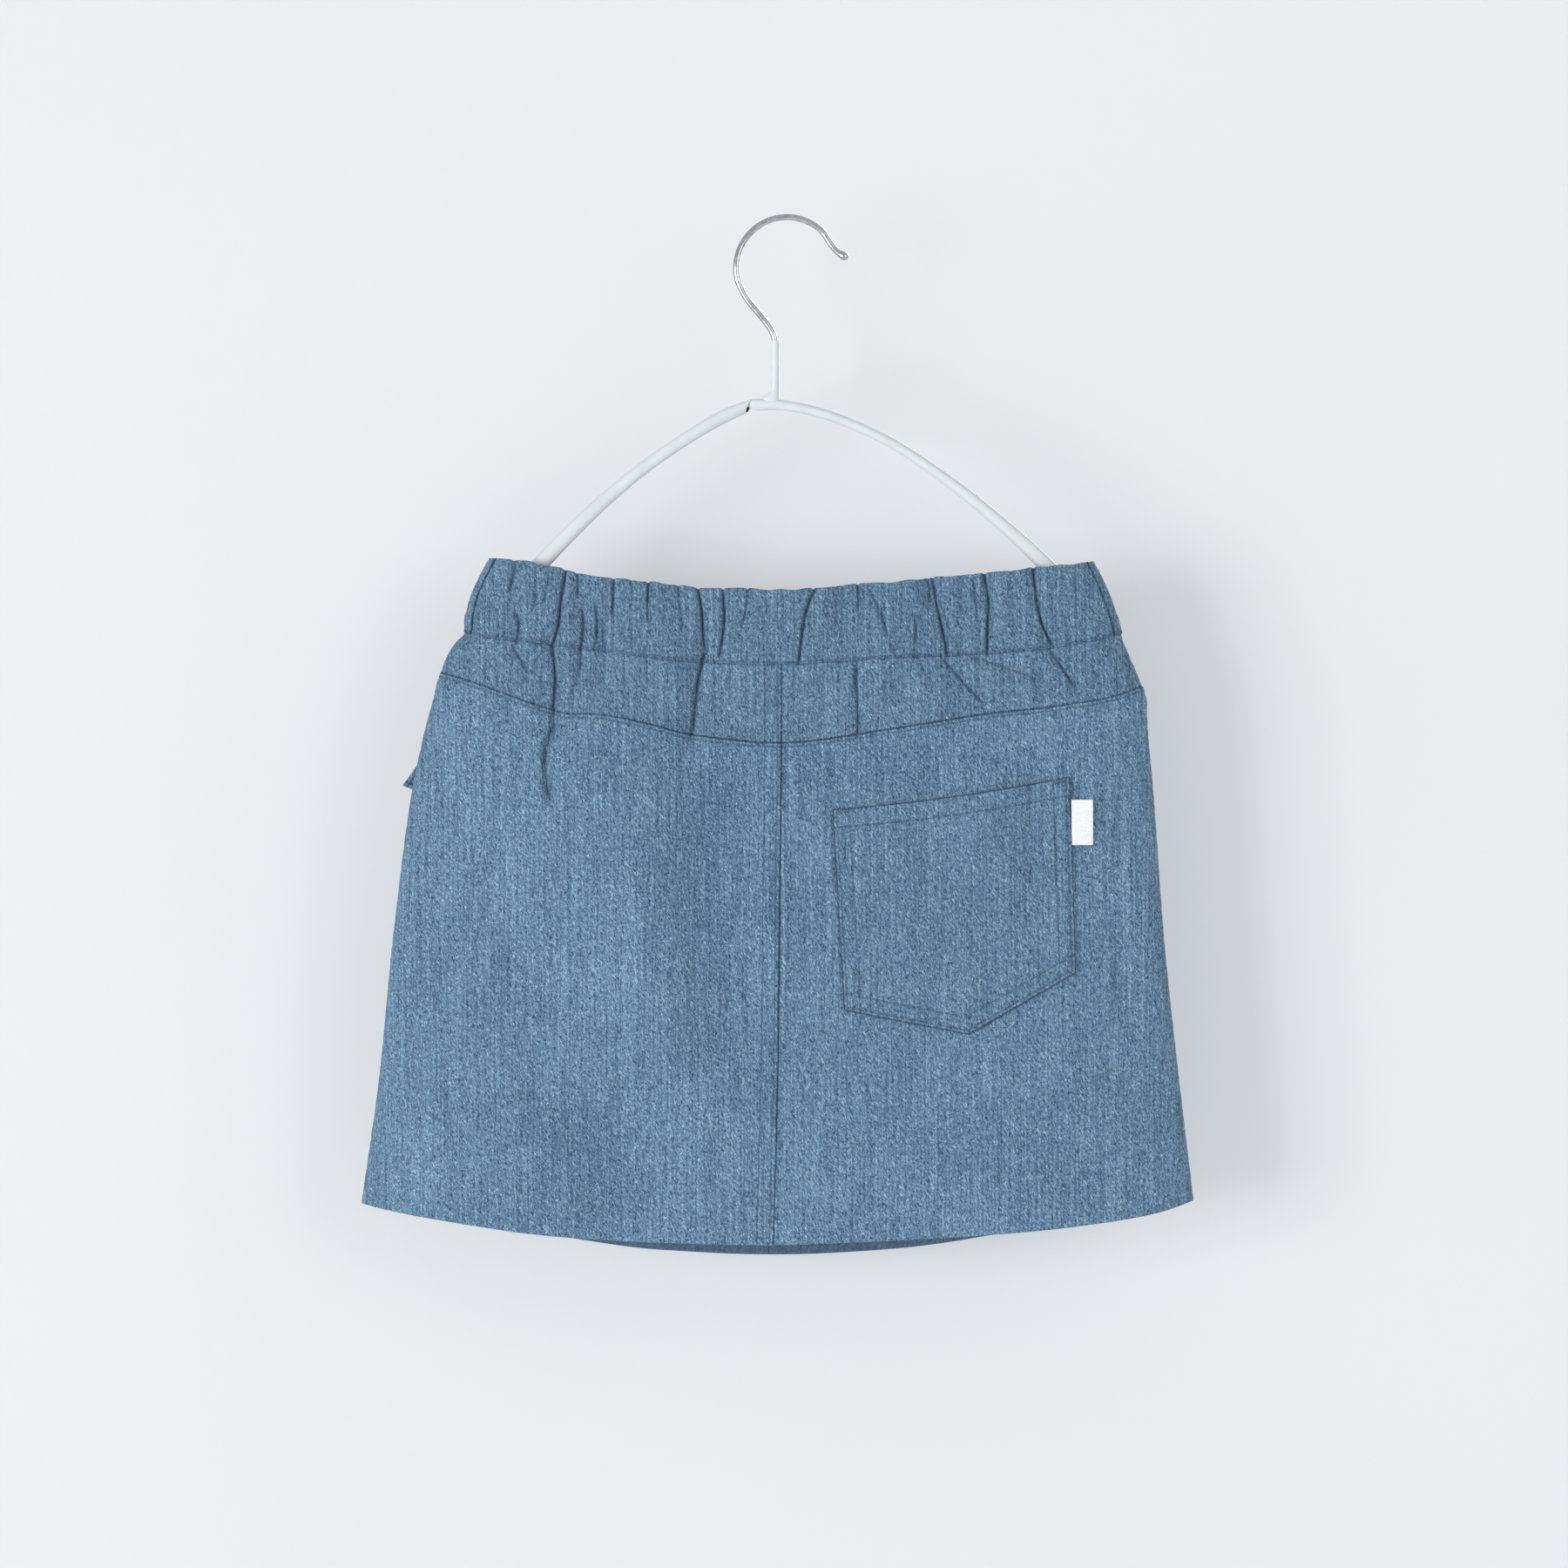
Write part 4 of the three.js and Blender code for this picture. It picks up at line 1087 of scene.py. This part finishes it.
class Graph:
    """A new material with a Principled shader."""

    def __init__(self, name):
        self.material = bpy.data.materials.new(name)
        self.material.use_nodes = True
        self.tree = self.material.node_tree
        self.shader = self.tree.nodes["Principled BSDF"]

    def add(self, kind, settings=None, sockets=None, output=0):
        """Any node: its settings and a ramp's stops first, then its sockets' values or links."""
        node = self.tree.nodes.new(kind)
        for name, value in (settings or {}).items():
            if name == "stops":
                ramp = node.color_ramp.elements
                while len(ramp) < len(value):
                    ramp.new(0.5)
                for stop, (position, colour) in zip(ramp, value):
                    stop.position, stop.color = position, (*colour, 1)
            else:
                setattr(node, name, value)
        for name, value in (sockets or {}).items():
            self.feed(node.inputs[name], value)
        return Value(self, node.outputs[output])

    def feed(self, socket, value):
        if isinstance(value, Value):
            self.tree.links.new(value.socket, socket)
        else:
            socket.default_value = value

    def finish(self, **sockets):
        for name, value in sockets.items():
            self.feed(self.shader.inputs[name.replace("_", " ")], value)
        return self.material

    def place(self, turn=0.0):
        """Object coordinates in millimetres, turned about Y."""
        spot = self.add("ShaderNodeTexCoord", output=3)
        sockets = {"Vector": spot, "Rotation": (0, turn, 0), "Scale": (1000, 1000, 1000)}
        return self.add("ShaderNodeMapping", None, sockets)

    def noise(self, place, size, detail=2.0, roughness=0.5, distortion=0.0):
        """Noise whose grains measure size along X, Y and Z."""
        scale = tuple(1 / s for s in size)
        spot = self.add("ShaderNodeMapping", None, {"Vector": place, "Scale": scale})
        sockets = {
            "Vector": spot,
            "Scale": 1.0,
            "Detail": detail,
            "Roughness": roughness,
            "Distortion": distortion,
        }
        return self.add("ShaderNodeTexNoise", None, sockets)

    def attribute(self, name):
        return self.add("ShaderNodeAttribute", {"attribute_name": name}, output=2)

    def ramp(self, factor, stops):
        return self.add("ShaderNodeValToRGB", {"stops": stops}, {0: factor})

    def mix(self, factor, first, second, blend="MIX"):
        """Two colours mixed, or one multiplied by the other."""
        settings = {"data_type": "RGBA", "blend_type": blend}
        return self.add("ShaderNodeMix", settings, {0: factor, 6: first, 7: second}, output=2)

    def surface(self, colour, roughness, height_mm, **more):
        """The whole finish, with relief from a height in millimetres."""
        sockets = {"Strength": 1.0, "Distance": MM, "Height": height_mm}
        relief = self.add("ShaderNodeBump", None, sockets)
        return self.finish(Base_Color=colour, Roughness=roughness, Normal=relief, **more)


def srgb(red, green, blue):
    """A colour given as it looks on a screen, 0 to 255, as the shader wants it."""
    shares = (red / 255, green / 255, blue / 255)
    return tuple(c / 12.92 if c <= 0.04045 else ((c + 0.055) / 1.055) ** 2.4 for c in shares)


def shaded(stops, shade):
    """A ramp's stops, all made lighter or darker."""
    return [(at, tuple(c * shade for c in colour)) for at, colour in stops]


# ---- Finishes ----

DENIM_DARK = srgb(34, 62, 93)
DENIM_MIDDLE = srgb(97, 134, 165)
DENIM_LIGHT = srgb(174, 206, 228)
STREAK_LEAN = math.radians(28)  # how the twill leans
BAND_SHADE = 0.88  # how dark a piece's denim is, against the panels'; the band and yoke are painted darker as the shade of their gathers
YOKE_SHADE = 0.9
POCKET_SHADE = 0.95
SEAM_GROOVE_SHADE = 0.42  # how dark the shade painted in a seam's groove is
BAND_SEAM_GROOVE_SHADE = 0.18
# painted shade along the pocket's edges and mouth, where they stand off the panel
POCKET_EDGE_SHADE = 0.55
GROOVE_REACH = 0.75  # how far the painted shade of a seam's groove and of a row's dent spreads, in the finish
ROW_REACH = 0.6


def denim(name, lean=STREAK_LEAN, shade=1.0, rows=None, groove_shades=None):
    """Crinkled washed denim.

    rows: which edges have rows of stitches, and how far in these lie. Then, for each edge, how dark
    the shade painted in its groove is.
    """
    g = Graph(name)
    upright, leaning, crossing = g.place(), g.place(lean), g.place(lean * 0.55)
    fine = g.noise(leaning, (0.36, 0.36, 0.95), 2.0, 0.65, 0.4)
    grain = g.noise(crossing, (0.5, 0.5, 0.7), 1.0, 0.5, 0.2)
    crinkle = g.noise(leaning, (1.25, 1.25, 3.0), 1.5, 0.55, 0.8)
    # Crinkled yarns catch the light as short thin lines along the twill, painted as highlights,
    # with pits between painted dark as shade.
    yarns = g.noise(leaning, (0.52, 0.52, 2.1), 1.0, 0.5, 1.3)
    lines = ((yarns - 0.51) * 6).at_least(0).at_most(1)
    pits = ((0.43 - g.noise(crossing, (0.8, 0.8, 1.7), 1.0)) * 8).at_least(0).at_most(1)
    slub = g.noise(upright, (0.9, 6, 48), 1.0)
    mottle = g.noise(upright, (24, 24, 34), 2.0, 0.6)
    tone = (
        0.4
        + (fine - 0.5) * 1.2
        + (grain - 0.5) * 0.6
        + (crinkle - 0.5) * 0.42
        + lines * 0.33
        - pits * 0.25
        + (slub - 0.5) * 0.46
        + (mottle - 0.5) * 0.13
        # painted light and shade of the panels' broad folds
        + g.attribute("wash") * 0.78
    )
    shade_unevenness = g.noise(upright, (3, 3, 9), 1.0)
    # The creases get painted shade, uneven along them.
    tone = tone - g.attribute("crease") * (shade_unevenness * 1.1 - 0.08)
    height = (fine - 0.5) * 0.09 + (crinkle - 0.5) * 0.44 + (slub - 0.5) * 0.08
    height = height + lines * 0.2 - pits * 0.1
    # The seams' grooves and the pocket's edges get painted shade, uneven along them.
    for edge, dark in (groove_shades or {}).items():
        tone = tone - g.attribute("to_" + edge).near(0, GROOVE_REACH) * dark * (shade_unevenness * 1.4 + 0.3)
    # Each row of stitches sinks a dent, which is also painted darker as shade.
    for edge, insets in (rows or {}).items():
        to_edge = g.attribute("to_" + edge)
        for inset in insets:
            row = to_edge.near(inset, ROW_REACH)
            tone = tone - row * 0.17
            height = height - row * 0.22
    stops = [(0.08, DENIM_DARK), (0.5, DENIM_MIDDLE), (0.92, DENIM_LIGHT)]
    colour = g.ramp(tone, shaded(stops, shade))
    return g.surface(colour, 0.86 + (fine - 0.5) * 0.12, height, Sheen_Weight=0.12)


def inside_finish():
    """The denim's reverse, greyer and paler. The turned hem shows its right side, painted darker as
    shade.
    """
    g = Graph("denim_inside")
    upright, leaning = g.place(), g.place(-STREAK_LEAN)
    fine = g.noise(leaning, (0.4, 0.4, 1.3), 2.0, 0.6, 0.3)
    crinkle = g.noise(leaning, (1.6, 1.6, 3.4), 1.5, 0.55, 0.8)
    slub = g.noise(upright, (0.9, 6, 48), 1.0)
    tone = 0.5 + (fine - 0.5) * 1.1 + (crinkle - 0.5) * 0.5 + (slub - 0.5) * 0.3
    # The creases get painted shade.
    tone = tone - g.attribute("crease") * 0.3
    reverse = g.ramp(tone, [(0.1, srgb(88, 106, 126)), (0.9, srgb(160, 174, 188))])
    shaded_right_side = g.ramp(tone, [(0.1, srgb(34, 54, 80)), (0.9, srgb(108, 138, 166))])
    colour = g.mix(g.attribute("turned"), reverse, shaded_right_side)
    height = (fine - 0.5) * 0.09 + (crinkle - 0.5) * 0.34 + (slub - 0.5) * 0.08
    return g.surface(colour, 0.88 + (fine - 0.5) * 0.1, height)


def thread_finish(name, shade=1.0):
    """Thread of the denim's own blue, with painted shade where it dips into its hole."""
    g = Graph(name)
    twist = g.noise(g.place(), (0.12, 0.12, 0.12), 1.0)
    # The ends, where the thread dips in, are painted darker as shade.
    tone = twist - g.attribute("dip") * 0.8
    stops = [(0.0, srgb(24, 40, 62)), (0.3, srgb(72, 102, 132)), (0.7, srgb(98, 131, 160))]
    colour = g.ramp(tone, shaded(stops, shade))
    return g.surface(colour, 0.7, twist * 0.05)


def label_finish():
    """White woven tape: fine ribs across it."""
    g = Graph("woven_label")
    place = g.place()
    ribs = g.noise(place, (1.6, 2.0, 0.3), 1.0)
    weave = g.noise(place, (0.3, 2.0, 0.5), 1.0)
    tone = 0.55 + (ribs - 0.5) * 0.6 + (weave - 0.5) * 0.5
    colour = g.ramp(tone, [(0.2, srgb(214, 219, 220)), (0.8, srgb(248, 250, 250))])
    return g.surface(colour, 0.75, (ribs + weave) * 0.06)


def coating_finish():
    """White dipped plastic over steel, with a soft sheen and slight unevenness."""
    g = Graph("white_coating")
    place = g.place()
    dip = g.noise(place, (9, 9, 16), 2.0)
    grain = g.noise(place, (0.5, 0.5, 0.5), 2.0)
    colour = g.ramp(dip, [(0.3, srgb(209, 214, 216)), (0.7, srgb(218, 223, 225))])
    roughness = 0.36 + (dip - 0.5) * 0.2 + (grain - 0.5) * 0.08
    return g.surface(colour, roughness, dip * 0.18 + grain * 0.012)


def bore_steel_and_shade_finish():
    """Bare steel inside the tube, painted darker than steel as the shade deep in the bore."""
    g = Graph("bare_steel_and_bore_shade")
    grain = g.noise(g.place(), (0.4, 0.4, 0.4), 2.0)
    colour = g.ramp(grain, [(0.3, srgb(38, 36, 34)), (0.7, srgb(64, 61, 58))])
    return g.surface(colour, 0.6 + (grain - 0.5) * 0.2, grain * 0.02, Metallic=0.6)


def chrome_finish():
    """Polished wire, with drawing lines and small dull spots."""
    g = Graph("chromed_wire")
    place = g.place()
    drawn = g.noise(place, (0.35, 0.35, 6), 2.0)
    spots = g.noise(place, (2.6, 2.6, 2.6), 3.0, 0.7)
    colour = g.ramp(spots, [(0.35, srgb(180, 182, 184)), (0.65, srgb(214, 216, 218))])
    roughness = 0.17 + (spots - 0.5) * 0.16 + (drawn - 0.5) * 0.1
    return g.surface(colour, roughness, drawn * 0.01, Metallic=1.0)


# ---- The skirt's pieces ----


def wear(
    piece, material, node, flat, inside=None
):
    """Gives a sheet of cloth its finish, and hides the part that it stands for."""
    thing = piece["object"]
    thing.data.materials.append(material)
    if inside:
        thing.data.materials.append(inside)
        rows, columns = piece["normal"].shape[:2]
        count = (rows - 1) * (columns - 1)
        for face in thing.data.polygons[count : 2 * count]:
            face.material_index = 1
    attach(thing, BODY)
    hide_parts(node)
    flat = tuple(size * MM for size in flat)
    return piece


def make_waistband():
    made, joined = {}, {"bottom": BAND_SEAM, "left": PLAIN_SEAM, "right": PLAIN_SEAM}
    groove_shades = {"bottom": BAND_SEAM_GROOVE_SHADE, "left": SEAM_GROOVE_SHADE, "right": SEAM_GROOVE_SHADE}
    for side, ring, lap, lean in (
        ("back", (-1 + BAND_SIDE_SEAM, 1 - BAND_SIDE_SEAM), 0, STREAK_LEAN),
        ("front", (1 - BAND_SIDE_SEAM, 3 + BAND_SIDE_SEAM), 1, -STREAK_LEAN),
    ):
        laps = {"top": None, "bottom": 1, "left": lap, "right": lap}
        name = f"waistband_{side}_cloth"
        piece = skirt_piece(name, ring, ("waist", "band"), BAND_WALL, BAND_GRID, laps, joined)
        finish = denim(f"band_denim_{side}", lean, BAND_SHADE, {"bottom": (BAND_ROW,)}, groove_shades)
        node = f"waistband_{side}"
        made[node] = wear(piece, finish, node, (350, 40))
    return made


def make_yoke(inside):
    made = {}
    joined = {"top": BAND_SEAM, "bottom": PLAIN_SEAM, "left": PLAIN_SEAM, "right": PLAIN_SEAM}
    groove_shades = {"left": SEAM_GROOVE_SHADE, "right": SEAM_GROOVE_SHADE, "bottom": SEAM_GROOVE_SHADE, "top": BAND_SEAM_GROOVE_SHADE}
    for side, centre, ring in (("left", "right", (-1, 0)), ("right", "left", (0, 1))):
        laps = {"top": 0, "bottom": 0, "left": 0, "right": 0, centre: 1}
        rows = {centre: THREAD_ROWS} if side == "left" else {}
        finish = denim(f"yoke_denim_{side}", STREAK_LEAN, YOKE_SHADE, rows, groove_shades)
        name = f"yoke_{side}_cloth"
        piece = skirt_piece(name, ring, ("band", "yoke"), CLOTH_WALL, YOKE_GRID, laps, joined)
        node = f"yoke_back_{side}"
        made[node] = wear(piece, finish, node, (172, 44), inside=inside)
    return made


def make_panels(inside):
    """The back's and the front's panels. On each face the left one laps over the centre seam."""
    made = {}
    side_groove_shades = {"left": SEAM_GROOVE_SHADE, "right": SEAM_GROOVE_SHADE}
    for face, side, centre, ring in (
        ("back", "left", "right", (-1, 0)),
        ("back", "right", "left", (0, 1)),
        ("front", "right", "right", (1, 2)),
        ("front", "left", "left", (2, 3)),
    ):
        on_back = face == "back"
        laps = {"top": 1 if on_back else 0, "bottom": None, "left": 0, "right": 0}
        laps[centre] = 1 if side == "left" else 0
        rows = {"top": (EDGE_ROW,)} if on_back else {}
        if side == "left":
            rows[centre] = THREAD_ROWS
        groove_shades = {"top": SEAM_GROOVE_SHADE, **side_groove_shades} if on_back else side_groove_shades
        top_seam = PLAIN_SEAM if on_back else BAND_SEAM
        joined = {"top": top_seam, "left": PLAIN_SEAM, "right": PLAIN_SEAM}
        lean = STREAK_LEAN if on_back else -STREAK_LEAN
        finish = denim(f"{face}_denim_{side}", lean, rows=rows, groove_shades=groove_shades)
        name, node = f"{face}_panel_{side}_cloth", f"{face}_panel_{side}"
        edges = ("yoke" if on_back else "band", f"{face}_hem")
        piece = skirt_piece(name, ring, edges, CLOTH_WALL, PANEL_GRID, laps, joined, True)
        flat, area = ((205, 275), 0.048) if on_back else ((208, 305), 0.0545)
        made[node] = wear(piece, finish, node, flat, inside)
    return made


def pocket_layers(even, down, below_mouth):
    lift = POCKET["mouth_lift"] * np.sin(math.pi * even) * (1 - down) ** 3
    thicker = (POCKET["hem_wall"] - CLOTH_WALL) * fade(below_mouth, POCKET["hem"], POCKET["step"])
    return LAY_ON + lift, CLOTH_WALL + thicker


def flap_layers(even, down, below_top):
    return FLAP["lay_on"] + FLAP["lift"] * down * down, CLOTH_WALL


def label_layers(even, down, below_top):
    return LAY_ON, LABEL["wall"]


def make_pocket():
    rows = dict.fromkeys(("left", "right", "bottom"), THREAD_ROWS)
    rows["top"] = (POCKET["hem"],)
    laps = {"top": None, "bottom": 0, "left": 0, "right": 0}
    piece = patch("back_pocket_cloth", -1.0, POCKET, POCKET_GRID, pocket_layers, laps)
    # The pocket's edges and mouth get painted shade, where they stand off the panel.
    groove_shades = dict.fromkeys(rows, POCKET_EDGE_SHADE)
    finish = denim("pocket_denim", shade=POCKET_SHADE, rows=rows, groove_shades=groove_shades)
    return wear(piece, finish, "back_pocket", (116, 124))


def make_flap():
    laps = dict.fromkeys(("top", "bottom", "left", "right"), 0)
    piece = patch("front_flap_cloth", 1.0, FLAP, FLAP_GRID, flap_layers, laps)
    rows = dict.fromkeys(("left", "right", "bottom"), (EDGE_ROW,))
    finish = denim("flap_denim", -STREAK_LEAN, rows=rows)
    return wear(piece, finish, "front_pocket_flap", (110, 66))


def make_label():
    left, right, top, bottom = (LABEL[edge] for edge in ("left", "right", "top", "bottom"))
    shape = {
        "top_left": (left, top),
        "top_right": (right, top),
        "low_right": (right, bottom),
        "point": ((left + right) / 2, bottom),
        "low_left": (left, bottom),
    }
    laps = dict.fromkeys(("top", "bottom", "left", "right"))
    piece = patch("pocket_label_tape", -1.0, shape, LABEL_GRID, label_layers, laps)
    flat, rests_on = (10.5, 21.5), ["back_pocket_cloth"]
    wear(piece, label_finish(), "pocket_label", flat)


# ---- The scene round it ----

# In metres.
CAMERA_AWAY = 2.3
VIEW_WIDE = 0.738
VIEW_CENTRE = (-0.0014, -0.2651)
FLOOR_DROP = 1.35
FLOOR_WIDE = 24
WALL_WIDE = 3.2
WALL_BEHIND = 0.055
LIGHTS_AIM = Vector((0, 0, -0.3))
# Each light's place, size, power and colour.
LIGHTS = {
    "key_left": ((-3.2, -2.9, -0.5), 1.9, 117, (1.0, 0.99, 0.98)),
    "fill_right": ((1.7, -2.0, 0.2), 1.8, 15, (1.0, 1.0, 1.0)),
    "front_side": ((1.2, 2.3, 0.5), 1.6, 38, (1.0, 1.0, 1.0)),
}

PALE_WALL = srgb(231, 233, 235)
WALL_GLOW = 0.38  # it glows a little, as in a bright room, so that shadows on it stay soft
WALL_SHADE = 0.59
ROOM_COLOUR = (0.95, 0.975, 1.0, 1)
ROOM_STRENGTH = 0.575


def make_camera():
    data = bpy.data.cameras.new("camera")
    data.sensor_width = 36
    data.lens = 36 * CAMERA_AWAY / VIEW_WIDE
    data.clip_end = 20
    camera = bpy.data.objects.new("camera", data)
    bpy.context.collection.objects.link(camera)
    camera.location = (VIEW_CENTRE[0], -CAMERA_AWAY, VIEW_CENTRE[1])
    camera.rotation_euler = (math.pi / 2, 0, 0)
    bpy.context.scene.camera = camera


def plain_finish(name, colour, one_sided=False):
    """A plain stage surface. A one-sided one is seen from its front only."""
    g = Graph(name)
    uneven = g.noise(g.place(), (300, 300, 300), 1.0)
    shade = g.ramp(uneven, [(0.3, tuple(c * 0.985 for c in colour)), (0.7, colour)])
    g.finish(Base_Color=shade, Roughness=0.95)
    if one_sided:
        lit = g.mix(1.0, shade, (WALL_SHADE, WALL_SHADE, WALL_SHADE, 1), "MULTIPLY")
        g.finish(Base_Color=lit, Emission_Color=shade, Emission_Strength=WALL_GLOW)
        behind = g.add("ShaderNodeNewGeometry", output=6)
        clear = g.add("ShaderNodeBsdfTransparent")
        shader = Value(g, g.shader.outputs[0])
        both = g.add("ShaderNodeMixShader", None, {0: behind, 1: shader, 2: clear})
        g.feed(g.tree.nodes["Material Output"].inputs["Surface"], both)
    return g.material


def make_stage():
    bpy.ops.object.select_all(action="DESELECT")
    bpy.ops.mesh.primitive_plane_add(size=FLOOR_WIDE, location=(0, 0, -FLOOR_DROP))
    floor = bpy.context.object
    floor.name = "floor"
    floor.data.materials.append(plain_finish("pale_floor", PALE_WALL))
    bpy.ops.mesh.primitive_plane_add(
        size=WALL_WIDE,
        location=(0, WALL_BEHIND, -FLOOR_DROP + WALL_WIDE / 2),
        rotation=(math.pi / 2, 0, 0),
    )
    wall = bpy.context.object
    wall.name = "wall"
    wall.data.materials.append(plain_finish("pale_wall", PALE_WALL, one_sided=True))
    # The wall takes the skirt's shadow, and keeps no light from the side that faces it.
    wall.visible_shadow = wall.visible_diffuse = wall.visible_glossy = False


def make_lights():
    for name, (place, size, power, colour) in LIGHTS.items():
        data = bpy.data.lights.new(name, "AREA")
        data.shape, data.size, data.energy, data.color = "SQUARE", size, power, colour
        lamp = bpy.data.objects.new(name, data)
        bpy.context.collection.objects.link(lamp)
        lamp.visible_camera = False
        lamp.location = place
        lamp.rotation_euler = (LIGHTS_AIM - Vector(place)).to_track_quat("-Z", "Y").to_euler()
    world = bpy.data.worlds.new("soft_room")
    world.use_nodes = True
    room = world.node_tree.nodes["Background"].inputs
    room["Color"].default_value, room["Strength"].default_value = ROOM_COLOUR, ROOM_STRENGTH
    bpy.context.scene.world = world
    bpy.context.scene.view_settings.view_transform = "Standard"


make_camera()
make_stage()
make_lights()
inside = inside_finish()
pieces = {**make_waistband(), **make_yoke(inside), **make_panels(inside)}
pocket = pieces["back_pocket"] = make_pocket()
flap = make_flap()
make_label()

thread = thread_finish("topstitch_thread")
for name, rows in STITCHES.items():
    sew(name, [stitch_path(pieces[node], *row) for node, *row in rows], thread)
sew(
    "pocket_bar_tacks",
    [bar_tack(pocket, inset, *run) for inset in TACK_ROWS for run in TACK_RUNS],
    thread_finish("bar_tack_thread", TACK_SHADE),
    TACK_PITCH,
    TACK_LONG,
)
flap_edges, trim = ("left", "right", "bottom"), (EDGE_ROW, EDGE_ROW)
sew("flap_stitches", [stitch_path(flap, edge, EDGE_ROW, trim) for edge in flap_edges], thread)

make_hook()
coating = coating_finish()
make_tube(coating, bore_steel_and_shade_finish())
make_rod(coating)
make_stem(coating)
